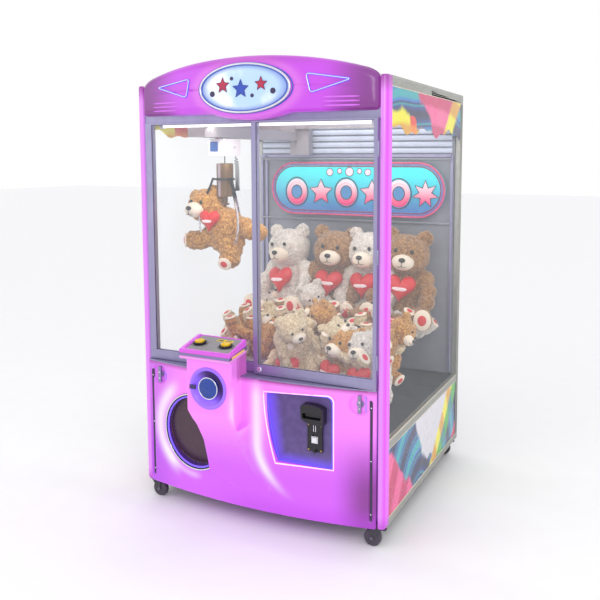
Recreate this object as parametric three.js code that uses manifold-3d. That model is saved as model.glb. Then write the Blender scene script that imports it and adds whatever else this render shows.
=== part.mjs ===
// Claw crane machine: a floor-standing cabinet with a glazed prize space, a travelling claw and a lit front.
// Millimetres, +Z up. The parts are drawn with X centred, Y measured back from the cabinet's front plane and Z from
// the floor; the whole machine is then moved so that its origin is the centre of its footprint, on the floor.
import * as THREE from 'three';
import { mergeVertices } from 'three/addons/utils/BufferGeometryUtils.js';
import Module from 'manifold-3d';

const wasm = await Module();
wasm.setup();

// ---- driving dimensions ----
const HALF_WIDTH = 610;
const DEPTH = 1140;
const CABINET_BOTTOM = 88;
const CABINET_TOP = 1950;
const CONSOLE_REACH = 256;
const GAP = 0.5;
const WELD = 2e-3;
const POST_WIDTH = 30;
const POST_DEPTH = 55;
const POST_ROUND = 20;
const RAIL_THICKNESS = 26;
const INNER_HALF = HALF_WIDTH - RAIL_THICKNESS;
const POST_INNER = HALF_WIDTH - POST_WIDTH;

const DOOR_HALF = 575;
const DOOR_TOP = 676;
const DOOR_BACK = 8;
const DOOR_BOW = 57;
const DOOR_FRONT = -65;
const DOOR_WALL = 10;
const SILL_BACK_STRIP = 2;

const FLOOR_TOP = 455;
const FLOOR_THICKNESS = 10;
const GLASS_BOTTOM = 453;
const SIDE_RAIL_TOP = 1910;
const BACK_WALL_Y = 1090;

const WINDOW_BOTTOM = 684;
const WINDOW_TOP = 1781.5;
const MEETING_X = 2;

const CHUTE = { x: -290, z: 385, radius: 177, lip: 14 };
const COLUMN = { left: -196, right: 30, front: -235, top: 787.5 };
const DISH = { x: -87, z: 669, radius: 88 };
const LATCH = { x: 505, z: 618, radius: 45 };
const CONSOLE = { bottom: 788, frontTop: 830, backTop: 848, front: -CONSOLE_REACH, back: -60 };
const PLATE = { front: -236, back: -62, thickness: 4 };
const PLATE_TILT = Math.atan2(CONSOLE.backTop - CONSOLE.frontTop, CONSOLE.back - CONSOLE.front);
const BUTTONS = [
  { name: 'button_left', x: -178, y: -157 },
  { name: 'button_right', x: -45, y: -160 },
];
const BUTTON_RADIUS = 21;
const BEZEL_RADIUS = 27;
const STEM_RADIUS = 9;

const BRIDGE = { x: -350, half: 45, front: 90, back: 1010, bottom: 1720, top: 1772 };
const X_RAIL = { bottom: 1786, top: 1806, width: 20, front: 95, back: 985 };
const TROLLEY = { x: -350.5, half: 45.5, front: 250, back: 397, bottom: 1634, top: 1715 };
const CLAW = { x: -350, y: 323, radius: 41, bottom: 1437, top: 1598, crown: 1522, crownRadius: 48 };
const PRONG_ANGLES = [210, 330, 90];
const PRONG_WIDTH = 8;
const PRONG_PIVOT = 58;
const DRUM = { y: CLAW.y + 22, z: 1674, radius: 18.5 };
const CABLE = { x: CLAW.x + 46, y: CLAW.y + 39, bottom: 1461, radius: 12 };

const CASTER = { x: 572, front: 30, back: 1092, wheel: 37.5, width: 24, trail: 22, plate: 8 };

const HEAP = { front: 62, back: 1060, side: 575 };
const DISPLAY_BEARS = [-290, -50, 190, 425];

// ---- materials ----
function material(colour, roughness, metalness = 0) {
  return new THREE.MeshStandardMaterial({ color: colour, roughness, metalness });
}

const glowPlastic = material(0xe25cf2, 0.35);
const aluminium = material(0x9f9bb8, 0.4, 0.8);
const railAluminium = material(0xb9b9b4, 0.5, 0.7);
const steel = material(0x8d8b90, 0.45, 0.8);
const darkSteel = material(0x3b3b40, 0.5, 0.6);
const chrome = material(0xdedde4, 0.15, 1);
const blackPlastic = material(0x16141b, 0.45);
const greyPlastic = material(0x8f8e93, 0.6);
const yellowPlastic = material(0xe0b416, 0.4);
const whitePlastic = material(0xeae8ee, 0.5);
const smokedPlastic = material(0x3a2c38, 0.2);
const rubber = material(0x4c4552, 0.8);
const glass = material(0xdfe8ee, 0.05);
const coinPlatePaint = material(0x4c3e72, 0.5);
const signFace = material(0x2fb9d8, 0.35);
const carpet = material(0x3f3d44, 0.95);
const goldenPlush = material(0xc98b3c, 0.95);
const creamPlush = material(0xe6d3b0, 0.95);
const cordBlack = material(0x19171c, 0.6);
const bronzePaint = material(0x6b5238, 0.4, 0.5);
const graphicPanel = material(0x2aa7c9, 0.3);

// ---- solids ----
// The same surface with its shared corners welded and its empty triangles dropped.
function welded(geometry) {
  const bare = geometry.clone();
  bare.deleteAttribute('normal');
  bare.deleteAttribute('uv');
  const merged = mergeVertices(bare, WELD);
  const corners = merged.index.array;
  const kept = [];
  for (let i = 0; i < corners.length; i += 3) {
    const [a, b, c] = [corners[i], corners[i + 1], corners[i + 2]];
    if (a !== b && b !== c && c !== a) kept.push(a, b, c);
  }
  merged.setIndex(kept);
  return merged;
}

function solid(geometry) {
  const surface = welded(geometry);
  const vertProperties = new Float32Array(surface.attributes.position.array);
  return new wasm.Manifold(new wasm.Mesh({
    numProp: 3,
    vertProperties,
    triVerts: new Uint32Array(surface.index.array),
  }));
}

function unite(first, ...rest) {
  return rest.reduce((sum, next) => sum.add(next), first);
}

function cut(first, ...rest) {
  return rest.reduce((left, tool) => left.subtract(tool), first);
}

function piece(name, shape, finish) {
  const { vertProperties, triVerts } = shape.getMesh();
  const geometry = new THREE.BufferGeometry();
  geometry.setAttribute('position', new THREE.BufferAttribute(new Float32Array(vertProperties), 3));
  geometry.setIndex(new THREE.BufferAttribute(new Uint32Array(triVerts), 1));
  const mesh = new THREE.Mesh(welded(geometry), finish.clone());
  mesh.name = name;
  return mesh;
}

function block(x0, x1, y0, y1, z0, z1) {
  const geometry = new THREE.BoxGeometry(x1 - x0, y1 - y0, z1 - z0);
  return solid(geometry.translate((x0 + x1) / 2, (y0 + y1) / 2, (z0 + z1) / 2));
}

function outline(points) {
  return new THREE.Shape(points.map(([a, b]) => new THREE.Vector2(a, b)));
}

function circle(a, b, radius) {
  return new THREE.Shape().absarc(a, b, radius, 0, 2 * Math.PI);
}

function prism(shape, depth, segments) {
  return new THREE.ExtrudeGeometry(shape, { depth, bevelEnabled: false, curveSegments: segments });
}

// An outline in X and Y, raised from z0 to z1.
function planPrism(shape, z0, z1, segments = 8) {
  return solid(prism(shape, z1 - z0, segments).translate(0, 0, z0));
}

// An outline in X and Z, carried back from y0 to y1.
function frontPrism(shape, y0, y1, segments = 16) {
  return solid(prism(shape, y1 - y0, segments).rotateX(Math.PI / 2).translate(0, y1, 0));
}

// An outline in Y and Z, carried across from x0 to x1.
function sidePrism(shape, x0, x1, segments = 8) {
  const turn = new THREE.Matrix4().set(0, 0, 1, 0, 1, 0, 0, 0, 0, 1, 0, 0, 0, 0, 0, 1);
  return solid(prism(shape, x1 - x0, segments).applyMatrix4(turn).translate(x0, 0, 0));
}

// A round bar along Z, or along another axis when turned.
function rod(radius, length, sides = 12) {
  return new THREE.CylinderGeometry(radius, radius, length, sides).rotateX(Math.PI / 2);
}

function rodX(x0, x1, y, z, radius, sides = 12) {
  return solid(rod(radius, x1 - x0, sides).rotateY(Math.PI / 2).translate((x0 + x1) / 2, y, z));
}

function rodY(x, y0, y1, z, radius, sides = 16) {
  return solid(rod(radius, y1 - y0, sides).rotateX(Math.PI / 2).translate(x, (y0 + y1) / 2, z));
}

function rodZ(x, y, z0, z1, radius, sides = 16) {
  return solid(rod(radius, z1 - z0, sides).translate(x, y, (z0 + z1) / 2));
}

function ball(x, y, z, rx, ry = rx, rz = rx) {
  return solid(new THREE.SphereGeometry(1, 10, 6).scale(rx, rz, ry).rotateX(Math.PI / 2).translate(x, y, z));
}

// A flat bar that follows a line of points in a plane, with square ends.
function strip(points, halfWidth) {
  const left = [];
  const right = [];
  points.forEach(([a, b], i) => {
    const [pa, pb] = points[Math.max(i - 1, 0)];
    const [na, nb] = points[Math.min(i + 1, points.length - 1)];
    const length = Math.hypot(na - pa, nb - pb);
    const [sa, sb] = [-(nb - pb) / length * halfWidth, (na - pa) / length * halfWidth];
    left.push([a + sa, b + sb]);
    right.unshift([a - sa, b - sb]);
  });
  return outline([...left, ...right]);
}

// ---- curves that several parts share ----
function doorFront(x) {
  return DOOR_FRONT + DOOR_BOW * (x / DOOR_HALF) ** 2;
}

// The plan of a bowed front between two depths behind the door's outer face, out to a half width.
function bowedPlan(front, back, half, steps = 16) {
  const bow = (offset) => Array.from({ length: steps + 1 }, (_, i) => {
    const x = -half + (2 * half * i) / steps;
    return [x, doorFront(x) + offset];
  });
  const rear = back === null ? [[half, DOOR_BACK], [-half, DOOR_BACK]] : bow(back).reverse();
  return outline([...bow(front), ...rear]);
}

function consoleTop(y) {
  return CONSOLE.frontTop + (y - CONSOLE.front) * Math.tan(PLATE_TILT);
}

function marqueeOutline(inset) {
  const half = POST_INNER - inset;
  const shape = new THREE.Shape();
  const bottom = 1812 + inset;
  const shoulder = 1948 - inset;
  const crown = 2048 - inset;
  shape.moveTo(-half + 25, bottom);
  shape.lineTo(-190, bottom);
  shape.quadraticCurveTo(0, bottom - 56, 190, bottom);
  shape.lineTo(half - 25, bottom);
  shape.quadraticCurveTo(half, bottom, half, bottom + 30);
  shape.lineTo(half, shoulder - 20);
  shape.quadraticCurveTo(half - 4, shoulder + 16, half - 60, shoulder + 34);
  shape.quadraticCurveTo(300, crown - 2, 0, crown);
  shape.quadraticCurveTo(-300, crown - 2, -half + 60, shoulder + 34);
  shape.quadraticCurveTo(-half + 4, shoulder + 16, -half, shoulder - 20);
  shape.lineTo(-half, bottom + 30);
  shape.quadraticCurveTo(-half, bottom, -half + 25, bottom);
  return shape;
}

// ---- cabinet ----
function basePlate() {
  const plate = block(-POST_INNER + GAP, POST_INNER - GAP, 14, 1130, CABINET_BOTTOM, 104);
  return piece('base_plate', plate, darkSteel);
}

function lightPost(side) {
  const [inner, outer] = [side * POST_INNER, side * HALF_WIDTH];
  const shape = new THREE.Shape();
  shape.moveTo(inner, POST_DEPTH);
  shape.lineTo(inner, 0);
  shape.lineTo(outer - side * POST_ROUND, 0);
  shape.quadraticCurveTo(outer, 0, outer, POST_ROUND);
  shape.lineTo(outer, POST_DEPTH);
  return planPrism(shape, CABINET_BOTTOM, CABINET_TOP, 6);
}

function sideFrame(side) {
  const across = side > 0 ? [INNER_HALF, HALF_WIDTH] : [-HALF_WIDTH, -INNER_HALF];
  const lining = side > 0 ? [INNER_HALF, 599] : [-599, -INNER_HALF];
  const front = POST_DEPTH + GAP;
  const back = DEPTH - 4;
  const bottomRail = block(...across, front, back, CABINET_BOTTOM, 118);
  const middleRail = block(...across, front, back, 420, GLASS_BOTTOM);
  const topRail = block(...across, front, back, SIDE_RAIL_TOP, CABINET_TOP);
  const rearPost = block(...across, 1100, back, CABINET_BOTTOM, CABINET_TOP);
  const frontStile = block(...lining, front, 74, CABINET_BOTTOM, CABINET_TOP);
  return unite(bottomRail, middleRail, topRail, rearPost, frontStile);
}

function sideSheet(side, z0, z1, thickness) {
  const outer = HALF_WIDTH - 3;
  const across = side > 0 ? [outer - thickness, outer] : [-outer, -outer + thickness];
  return block(...across, POST_DEPTH + GAP, 1100 - GAP, z0 + GAP, z1 - GAP);
}

function frontFrame() {
  const reach = POST_INNER - GAP;
  const header = block(-reach, reach, 12, 58, WINDOW_TOP + GAP, 1937);
  const sill = block(-reach, reach, 12, 58, 660, 682);
  const uprights = [-1, 1].map((side) => {
    const across = side > 0 ? [556, reach] : [-reach, -556];
    return block(...across, 30, 58, CABINET_BOTTOM + 17, 1937);
  });
  const mullion = block(-20, 0, 30, 58, 670, 1800);
  const bulkhead = block(-560, 560, 44, 48, 110, 670);
  const chuteDoorway = block(-504, -90, 0, 100, 170, 652);
  const coinDoorway = block(150, 400, 0, 100, 300, 640);
  return piece('front_frame', unite(header, sill, ...uprights, mullion, cut(bulkhead, chuteDoorway, coinDoorway)),
    aluminium);
}

function backPanel() {
  return piece('back_panel', block(-HALF_WIDTH, HALF_WIDTH, DEPTH - 3.5, DEPTH, CABINET_BOTTOM, CABINET_TOP),
    greyPlastic);
}

function backWall() {
  const wall = block(-INNER_HALF + GAP, INNER_HALF - GAP, BACK_WALL_Y, BACK_WALL_Y + 4, 460, 1936);
  const rods = [1277, 1618].map((z) => rodX(-570, 570, BACK_WALL_Y - 26, z, 6, 8));
  const brackets = [1277, 1618].flatMap((z) => [-560, 0, 560].map((x) =>
    block(x - 6, x + 6, BACK_WALL_Y - 26, BACK_WALL_Y + 1, z - 4, z + 4)));
  return piece('back_wall', unite(wall, ...rods, ...brackets), greyPlastic);
}

function backSign() {
  const [centre, low, high, reach] = [26, 1302, 1602, 522];
  const radius = (high - low) / 2;
  const shape = new THREE.Shape();
  shape.absarc(centre + reach - radius, low + radius, radius, -Math.PI / 2, Math.PI / 2);
  shape.absarc(centre - reach + radius, low + radius, radius, Math.PI / 2, (3 * Math.PI) / 2);
  return piece('back_sign', frontPrism(shape, BACK_WALL_Y - 42, BACK_WALL_Y - 34, 12), signFace);
}

function roofPanel() {
  const reach = INNER_HALF - GAP;
  const sheet = block(-reach, reach, 59, DEPTH - 5, 1938, CABINET_TOP);
  const shelf = block(-POST_INNER + GAP, POST_INNER - GAP, 12, 60, 1938, CABINET_TOP);
  const upstand = frontPrism(marqueeOutline(1), 12, 16, 8)
    .intersect(block(-600, 600, 0, 40, CABINET_TOP - 6, 2100));
  return piece('roof_panel', unite(sheet, shelf, upstand), railAluminium);
}

function playfieldFloor() {
  const reach = INNER_HALF - GAP;
  const sheet = block(-reach, reach, 75, BACK_WALL_Y - 1, FLOOR_TOP - FLOOR_THICKNESS, FLOOR_TOP);
  const apron = block(-555, 555, 49, 76, FLOOR_TOP - FLOOR_THICKNESS, FLOOR_TOP);
  return piece('playfield_floor', cut(unite(sheet, apron), block(-504, -90, 0, 346, 400, 500)), carpet);
}

function chuteDuct() {
  const outer = block(-500, -94, 9, 340, 180, 640);
  const inner = block(-496, -98, 0, 336, 184, 700);
  const ramp = sidePrism(outline([[10, 183], [336.5, 183], [336.5, 262]]), -497, -97);
  return piece('chute_duct', unite(cut(outer, inner), ramp), glass);
}

// ---- front door moulding ----
// The fin that carries the console: a curved sheet in profile, cut to a swept outline seen from the front.
function columnSolid(inset, spread = 0) {
  const profile = outline([
    [DOOR_BACK + inset, COLUMN.top - inset], [COLUMN.front + inset, COLUMN.top - inset], [-235 + inset, 561],
    [-208 + inset, 521], [-170 + inset, 474], [-122 + inset, 390], [-97 + inset, 305], [-82 + inset, 245],
    [-70 + inset, 175], [-58 + inset, 140], [DOOR_BACK + inset, 140],
  ]);
  const right = [[30, 560], [12, 480], [-2, 424], [8, 350], [27, 309], [70, 240], [119, 190]];
  const lower = [[119, 152], [30, 158], [-47, 175], [-120, 204], [COLUMN.left, 236]];
  const front = outline([
    [COLUMN.left + inset - spread, COLUMN.top - inset], [COLUMN.right - inset + spread, COLUMN.top - inset],
    ...right.map(([x, z]) => [x - inset + spread, z]),
    ...lower.map(([x, z]) => [x + (x === COLUMN.left ? inset - spread : spread - inset), z + inset - spread]),
  ].reverse());
  const slant = 73 / 175;
  const flank = (y) => COLUMN.right - inset + spread - (y - COLUMN.front) * slant;
  const taper = planPrism(outline([
    [flank(-240), -240], [600, -240], [600, 20], [flank(-60), 20], [flank(-60), -60],
  ]), 470, 900);
  return cut(sidePrism(profile, -260, 260).intersect(frontPrism(front, -300, 60)), taper);
}

function coinRecessOutline(grow) {
  const shape = new THREE.Shape();
  shape.moveTo(78 - grow, 629 + grow);
  shape.quadraticCurveTo(74 - grow, 430, 133 - grow, 318 - grow);
  shape.lineTo(397 + grow, 324 - grow);
  shape.lineTo(397 + grow, 620);
  shape.quadraticCurveTo(397 + grow, 641 + grow, 370, 641 + grow);
  return shape;
}

// The door's moulding and its column, which are joined but made as two shells.
function doorMouldings() {
  const shell = planPrism(bowedPlan(0, null, DOOR_HALF), CABINET_BOTTOM, DOOR_TOP);
  const hollow = planPrism(bowedPlan(DOOR_WALL, null, DOOR_HALF - DOOR_WALL, 15), CABINET_BOTTOM + DOOR_WALL,
    DOOR_TOP - DOOR_WALL);
  const backCut = block(-DOOR_HALF + DOOR_WALL, DOOR_HALF - DOOR_WALL, 0, 60, CABINET_BOTTOM + DOOR_WALL,
    DOOR_TOP - DOOR_WALL);
  const recessWall = frontPrism(coinRecessOutline(8), -90, -20, 8)
    .intersect(planPrism(bowedPlan(1, null, DOOR_HALF - 1), CABINET_BOTTOM, DOOR_TOP));
  const sleeve = frontPrism(circle(CHUTE.x, CHUTE.z, CHUTE.radius + 9), -90, DOOR_BACK, 24)
    .intersect(planPrism(bowedPlan(1, null, DOOR_HALF - 1), CABINET_BOTTOM, DOOR_TOP));
  const cups = [-1, 1].map((side) => rodY(side * LATCH.x, -16, 6, LATCH.z, LATCH.radius + 6, 20));
  const stripBacks = [-1, 1].map((side) => block(side * 553.5 - 14, side * 553.5 + 14, -8, 6, 108, 650));
  const shellParts = unite(cut(shell, hollow, backCut), recessWall, sleeve, ...cups, ...stripBacks);
  const chuteHole = frontPrism(circle(CHUTE.x, CHUTE.z, CHUTE.radius), -120, 40, 24)
    .intersect(block(-600, COLUMN.left, -200, 100, 0, 700));
  const body = cut(unite(shellParts, cut(columnSolid(0), columnSolid(DOOR_WALL))),
    block(COLUMN.left + DOOR_WALL, -20, -60, -20, 250, DOOR_TOP - DOOR_WALL));
  const sillStep = block(-300, 300, SILL_BACK_STRIP, 40, DOOR_TOP, 900);
  const coinHole = frontPrism(coinRecessOutline(0), -120, 40, 8);
  const dishHole = rodY(DISH.x, COLUMN.front - 5, -212, DISH.z, DISH.radius - 9, 24);
  const latchHoles = [-1, 1].map((side) => rodY(side * LATCH.x, -90, -2, LATCH.z, LATCH.radius, 20));
  const strips = [-1, 1].map((side) => block(side * 553.5 - 8.5, side * 553.5 + 8.5, -60, -3, 117, 640));
  const whole = cut(body, sillStep, chuteHole, coinHole, dishHole, ...latchHoles, ...strips);
  const clearance = unite(columnSolid(-GAP, GAP), columnSolid(-GAP, GAP).translate([0, 2 * GAP, 0]));
  return [
    piece('front_panel', cut(whole, clearance), glowPlastic),
    piece('door_column', whole.intersect(columnSolid(0)), glowPlastic),
  ];
}

function doorSill() {
  const shelf = planPrism(bowedPlan(2, null, DOOR_HALF), DOOR_TOP + GAP, 682);
  const cutFront = columnSolid(-2, 3).intersect(block(-400, 400, -400, SILL_BACK_STRIP + GAP, 600, 700));
  return piece('door_sill', cut(shelf, cutFront), aluminium);
}

function chuteBezel() {
  const ring = cut(frontPrism(circle(CHUTE.x, CHUTE.z, CHUTE.radius - GAP), -120, 0, 24),
    frontPrism(circle(CHUTE.x, CHUTE.z, CHUTE.radius - CHUTE.lip), -130, 10, 24));
  const band = planPrism(bowedPlan(-7, 26, DOOR_HALF), 100, 650);
  const clear = block(-600, COLUMN.left - GAP, -200, 100, 0, 700);
  return piece('chute_bezel', ring.intersect(band).intersect(clear), chrome);
}

function chuteFlap() {
  const radius = CHUTE.radius - CHUTE.lip - 3;
  const leaf = frontPrism(circle(CHUTE.x, CHUTE.z, radius), -8, -4, 20)
    .intersect(block(-600, COLUMN.left - 3, -100, 100, 0, 530));
  const barrel = rodX(-356, -222, -6, 529, 5, 8);
  return piece('chute_flap', unite(leaf, barrel), smokedPlastic);
}

function columnDish() {
  const profile = [
    [0, -22], [76, -22], [78.4, -20], [78.4, GAP], [DISH.radius, GAP], [87, 7], [80, 11], [70, 6], [62, -12],
    [53, -12], [52, -1], [48, 3], [0, 3],
  ].map(([r, h]) => new THREE.Vector2(r, h));
  const turned = new THREE.LatheGeometry(profile, 24).rotateX(Math.PI);
  return piece('column_dish', solid(turned.translate(DISH.x, COLUMN.front, DISH.z)), chrome);
}

function coinPlate() {
  const plate = frontPrism(coinRecessOutline(-GAP), -34, -30, 8);
  const slot = block(308, 320, -40, -20, 480, 505);
  return piece('coin_plate', cut(plate, slot, block(303, 325, -40, -20, 435, 457)), coinPlatePaint);
}

function readerHood() {
  const shape = new THREE.Shape();
  shape.moveTo(264, 540);
  shape.quadraticCurveTo(300, 516, 366, 520);
  shape.lineTo(366, 590);
  shape.quadraticCurveTo(330, 610, 268, 602);
  shape.lineTo(261, 590);
  const hood = frontPrism(shape, -78, -34 - GAP, 5);
  const mouth = block(272, 356, -90, -50, 545, 567);
  return piece('reader_hood', cut(hood, mouth), blackPlastic);
}

function coinMechPlate() {
  const plate = block(279, 349, -44, -34 - GAP, 394, 516);
  const slot = block(311, 317, -60, -20, 484, 508);
  const window = block(302, 326, -60, -20, 434, 458);
  const knob = rodY(318, -56, -43, 397, 6, 12);
  return piece('coin_mech_plate', unite(cut(plate, slot, window), knob), blackPlastic);
}

function rejectButton() {
  return piece('reject_button', unite(block(303, 325, -50, -38, 435, 457), block(309, 319, -39, -33, 441, 451)),
    whitePlastic);
}

function latch(name, side) {
  const base = rodY(side * LATCH.x, -10, -2.4, LATCH.z, 16, 16);
  const lever = block(side * LATCH.x - 7, side * LATCH.x + 7, -20, -9, LATCH.z - 38, LATCH.z + 38);
  return piece(name, unite(base, lever), steel);
}

// ---- console ----
function consolePlan(inset) {
  return outline([
    [-217 + inset, CONSOLE.front + inset], [33 - inset, CONSOLE.front + inset],
    [-6 - inset, CONSOLE.back - inset], [-255 + inset, CONSOLE.back - inset],
  ]);
}

function platePlan(inset) {
  return outline([
    [-200 + inset, PLATE.front + inset], [15 - inset, PLATE.front + inset],
    [-22 - inset, PLATE.back - inset], [-232 + inset, PLATE.back - inset],
  ]);
}

function belowConsoleTop(drop) {
  return sidePrism(outline([
    [CONSOLE.front - 10, 700], [CONSOLE.back + 10, 700],
    [CONSOLE.back + 10, consoleTop(CONSOLE.back + 10) - drop],
    [CONSOLE.front - 10, consoleTop(CONSOLE.front - 10) - drop],
  ]), -300, 100);
}

function consoleRim() {
  const outer = planPrism(consolePlan(0), CONSOLE.bottom, 900).intersect(belowConsoleTop(0));
  const pocket = cut(planPrism(platePlan(-GAP), CONSOLE.bottom - 10, 900), belowConsoleTop(PLATE.thickness + GAP + 6));
  const cavity = planPrism(platePlan(8), CONSOLE.bottom - 10, 900);
  return piece('console_rim', cut(outer, pocket, cavity), glowPlastic);
}

function onPlate(geometry, x, y) {
  return solid(geometry.rotateX(PLATE_TILT).translate(x, y, consoleTop(y) - 6));
}

function controlPlate() {
  const sheet = planPrism(platePlan(0), CONSOLE.bottom, 900).intersect(belowConsoleTop(6));
  const plate = cut(sheet, belowConsoleTop(6 + PLATE.thickness));
  const bezels = BUTTONS.map(({ x, y }) => onPlate(rod(BEZEL_RADIUS, 9, 16).translate(0, 0, 3.5), x, y));
  const wells = BUTTONS.map(({ x, y }) => onPlate(rod(BUTTON_RADIUS + 1.5, 10, 20).translate(0, 0, 8), x, y));
  const holes = BUTTONS.map(({ x, y }) => onPlate(rod(STEM_RADIUS + 1, 40), x, y));
  return piece('control_plate', cut(unite(plate, ...bezels), ...wells, ...holes), greyPlastic);
}

function button({ name, x, y }) {
  const cap = onPlate(rod(BUTTON_RADIUS, 8, 20).translate(0, 0, 12), x, y);
  const stem = onPlate(rod(STEM_RADIUS, 22).translate(0, 0, -1), x, y);
  return piece(name, unite(cap, stem), yellowPlastic);
}

// ---- windows ----
function windowFrame(x0, x1, y0, y1, left, right) {
  const outer = block(x0, x1, y0, y1, WINDOW_BOTTOM, WINDOW_TOP);
  return cut(outer, block(x0 + left, x1 - right, y0 - 5, y1 + 5, WINDOW_BOTTOM + 44, WINDOW_TOP - 8));
}

function windowLeft() {
  const [x0, x1, y0, y1] = [-577, MEETING_X - GAP, 8, 28];
  const frame = windowFrame(x0, x1, y0, y1, 36, 14);
  const pane = block(x0 + 36 + GAP, x1 - 14 - GAP, 15, 20, WINDOW_BOTTOM + 44 + GAP, WINDOW_TOP - 8 - GAP);
  return [piece('window_frame_left', frame, aluminium), piece('window_glass_left', pane, glass)];
}

function windowRight() {
  const [x0, x1, y0, y1] = [MEETING_X, 575, -14, 6];
  const lockHole = rodY(32, -40, 20, 707, 8, 12);
  const frame = cut(windowFrame(x0, x1, y0, y1, 20, 16), lockHole);
  const pane = block(x0 + 20 + GAP, x1 - 16 - GAP, -6, -1, WINDOW_BOTTOM + 44 + GAP, WINDOW_TOP - 8 - GAP);
  return [piece('window_frame_right', frame, aluminium), piece('window_glass_right', pane, glass)];
}

function windowLock() {
  const barrel = rodY(32, -16, 8, 707, 7.5, 16);
  const face = rodY(32, -18, -14 - GAP, 707, 12, 16);
  const cam = block(26, 38, 6 + GAP, 9, 690, 713);
  return piece('window_lock', unite(barrel, face, cam), chrome);
}

// ---- crane ----
function gantryFrame() {
  const { bottom, top, width, front, back } = X_RAIL;
  const rails = [front, back].map((y) => block(-575, 575, y, y + width, bottom, top));
  const ties = [-1, 1].map((side) => block(side * 567 - 8, side * 567 + 8, front, back + width, bottom, top));
  return piece('gantry_frame', unite(...rails, ...ties), steel);
}

function bridgeBeam() {
  const { x, half, front, back, bottom, top } = BRIDGE;
  const beam = cut(block(x - half, x + half, front, back, bottom, top),
    block(x - 12, x + 12, front + 20, back - 20, bottom - 5, bottom + 12));
  const saddles = [X_RAIL.front, X_RAIL.back].map((y) => {
    const hood = block(x - half, x + half, y - 5, y + X_RAIL.width + 5, top - 1, X_RAIL.top + 9);
    const groove = block(x - half - 5, x + half + 5, y - GAP, y + X_RAIL.width + GAP, X_RAIL.bottom - GAP,
      X_RAIL.top + GAP);
    return cut(hood, groove);
  });
  const bracket = block(-306, -236, 1009, 1060, 1641, 1847);
  const plate = block(-373, -305, 1046, 1052, 1641, 1718);
  const motor = block(-434, -305, 1012, 1060, 1817, 1859);
  return piece('bridge_beam', unite(beam, ...saddles, bracket, plate, motor), steel);
}

function trolleyBox() {
  const { x, half, front, back, bottom, top } = TROLLEY;
  const outer = block(x - half, x + half, front, back, bottom, top);
  const inner = block(x - half + 3, x + half - 3, front + 3, back - 3, bottom + 3, top - 3);
  const neck = block(x - 10, x + 10, front + 40, back - 40, top - 4, BRIDGE.bottom + 8);
  const axleHoles = rodX(x - half - 10, x + half + 10, DRUM.y, DRUM.z, 4.4, 12);
  const roofOpening = block(x - 30, x + 30, front + 8, front + 34, top - 10, top + 10);
  const cordHole = rodZ(CLAW.x, CLAW.y, bottom - 5, bottom + 10, 6, 12);
  const ears = [-1, 1].map((side) => block(x + side * 20 - 2, x + side * 20 + 2, front + 30, back - 30, 1660, top - 2));
  return piece('trolley_box', cut(unite(cut(outer, inner), neck, ...ears), axleHoles, roofOpening, cordHole),
    whitePlastic);
}

function winchDrum() {
  const axle = rodX(TROLLEY.x - 30, TROLLEY.x + 30, DRUM.y, DRUM.z, 4, 12);
  const drum = rodX(TROLLEY.x - 17, TROLLEY.x + 17, DRUM.y, DRUM.z, DRUM.radius, 20);
  return piece('winch_drum', unite(axle, drum), steel);
}

function tube(points, radius, sides, steps) {
  const path = new THREE.CatmullRomCurve3(points.map((p) => new THREE.Vector3(...p)));
  const section = new THREE.Shape().absarc(0, 0, radius, 0, 2 * Math.PI);
  return solid(new THREE.ExtrudeGeometry(section, { steps, extrudePath: path, curveSegments: sides / 2 }));
}

function hoistCord() {
  const cord = tube([[CLAW.x, CLAW.y, CLAW.top + GAP], [CLAW.x, CLAW.y, 1635], [CLAW.x, CLAW.y, DRUM.z]], 3, 8, 4);
  return piece('hoist_cord', cord, cordBlack);
}

function curlyCable() {
  const { x, y, bottom, radius } = CABLE;
  const route = [[x, y, bottom], [x, y, 1520], [x, y, 1575], [x - 8, y + 4, 1610], [x - 12, y + 6, TROLLEY.bottom - 3]];
  return piece('curly_cable', tube(route, radius, 10, 8), cordBlack);
}

function clawSolenoid() {
  const { x, y, radius, bottom, top } = CLAW;
  const can = rodZ(x, y, bottom, top, radius, 24);
  const plunger = rodZ(x, y, 1404, bottom + 1, 12, 12);
  const foot = rodZ(x, y, 1396, 1404.5, 20, 16);
  return piece('claw_solenoid', unite(can, plunger, foot), bronzePaint);
}

function aroundClaw(shape, degrees) {
  return shape.rotate([0, 0, degrees]).translate([CLAW.x, CLAW.y, 0]);
}

function clawCrown() {
  const { x, y, radius, crown, crownRadius } = CLAW;
  const ring = cut(rodZ(x, y, crown - 5, crown + 5, crownRadius, 24), rodZ(x, y, crown - 9, crown + 9, radius + GAP, 24));
  const clevises = PRONG_ANGLES.map((angle) => {
    const ears = [-1, 1].map((side) => {
      const inner = side * (PRONG_WIDTH / 2 + GAP);
      const outer = side * (PRONG_WIDTH / 2 + 3);
      return block(44, 63, Math.min(inner, outer), Math.max(inner, outer), crown - 5, crown + 5);
    });
    const pin = solid(rod(2.5, PRONG_WIDTH + 5, 8).rotateX(Math.PI / 2).translate(PRONG_PIVOT, 0, crown));
    return aroundClaw(unite(...ears, pin), angle);
  });
  return piece('claw_crown', unite(ring, ...clevises), blackPlastic);
}

function clawProng(name, angle) {
  const line = [
    [PRONG_PIVOT, CLAW.crown + 5], [64, 1508], [104, 1406], [124, 1350], [126, 1290], [108, 1232], [76, 1196], [60, 1188],
  ];
  const arm = frontPrism(strip(line, 5), -PRONG_WIDTH / 2, PRONG_WIDTH / 2);
  const eye = solid(rod(3.3, 40, 8).rotateX(Math.PI / 2).translate(PRONG_PIVOT, 0, CLAW.crown));
  const boss = solid(rod(6.5, PRONG_WIDTH, 12).rotateX(Math.PI / 2).translate(PRONG_PIVOT, 0, CLAW.crown));
  return piece(name, aroundClaw(cut(unite(arm, boss), eye), angle), chrome);
}

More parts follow.
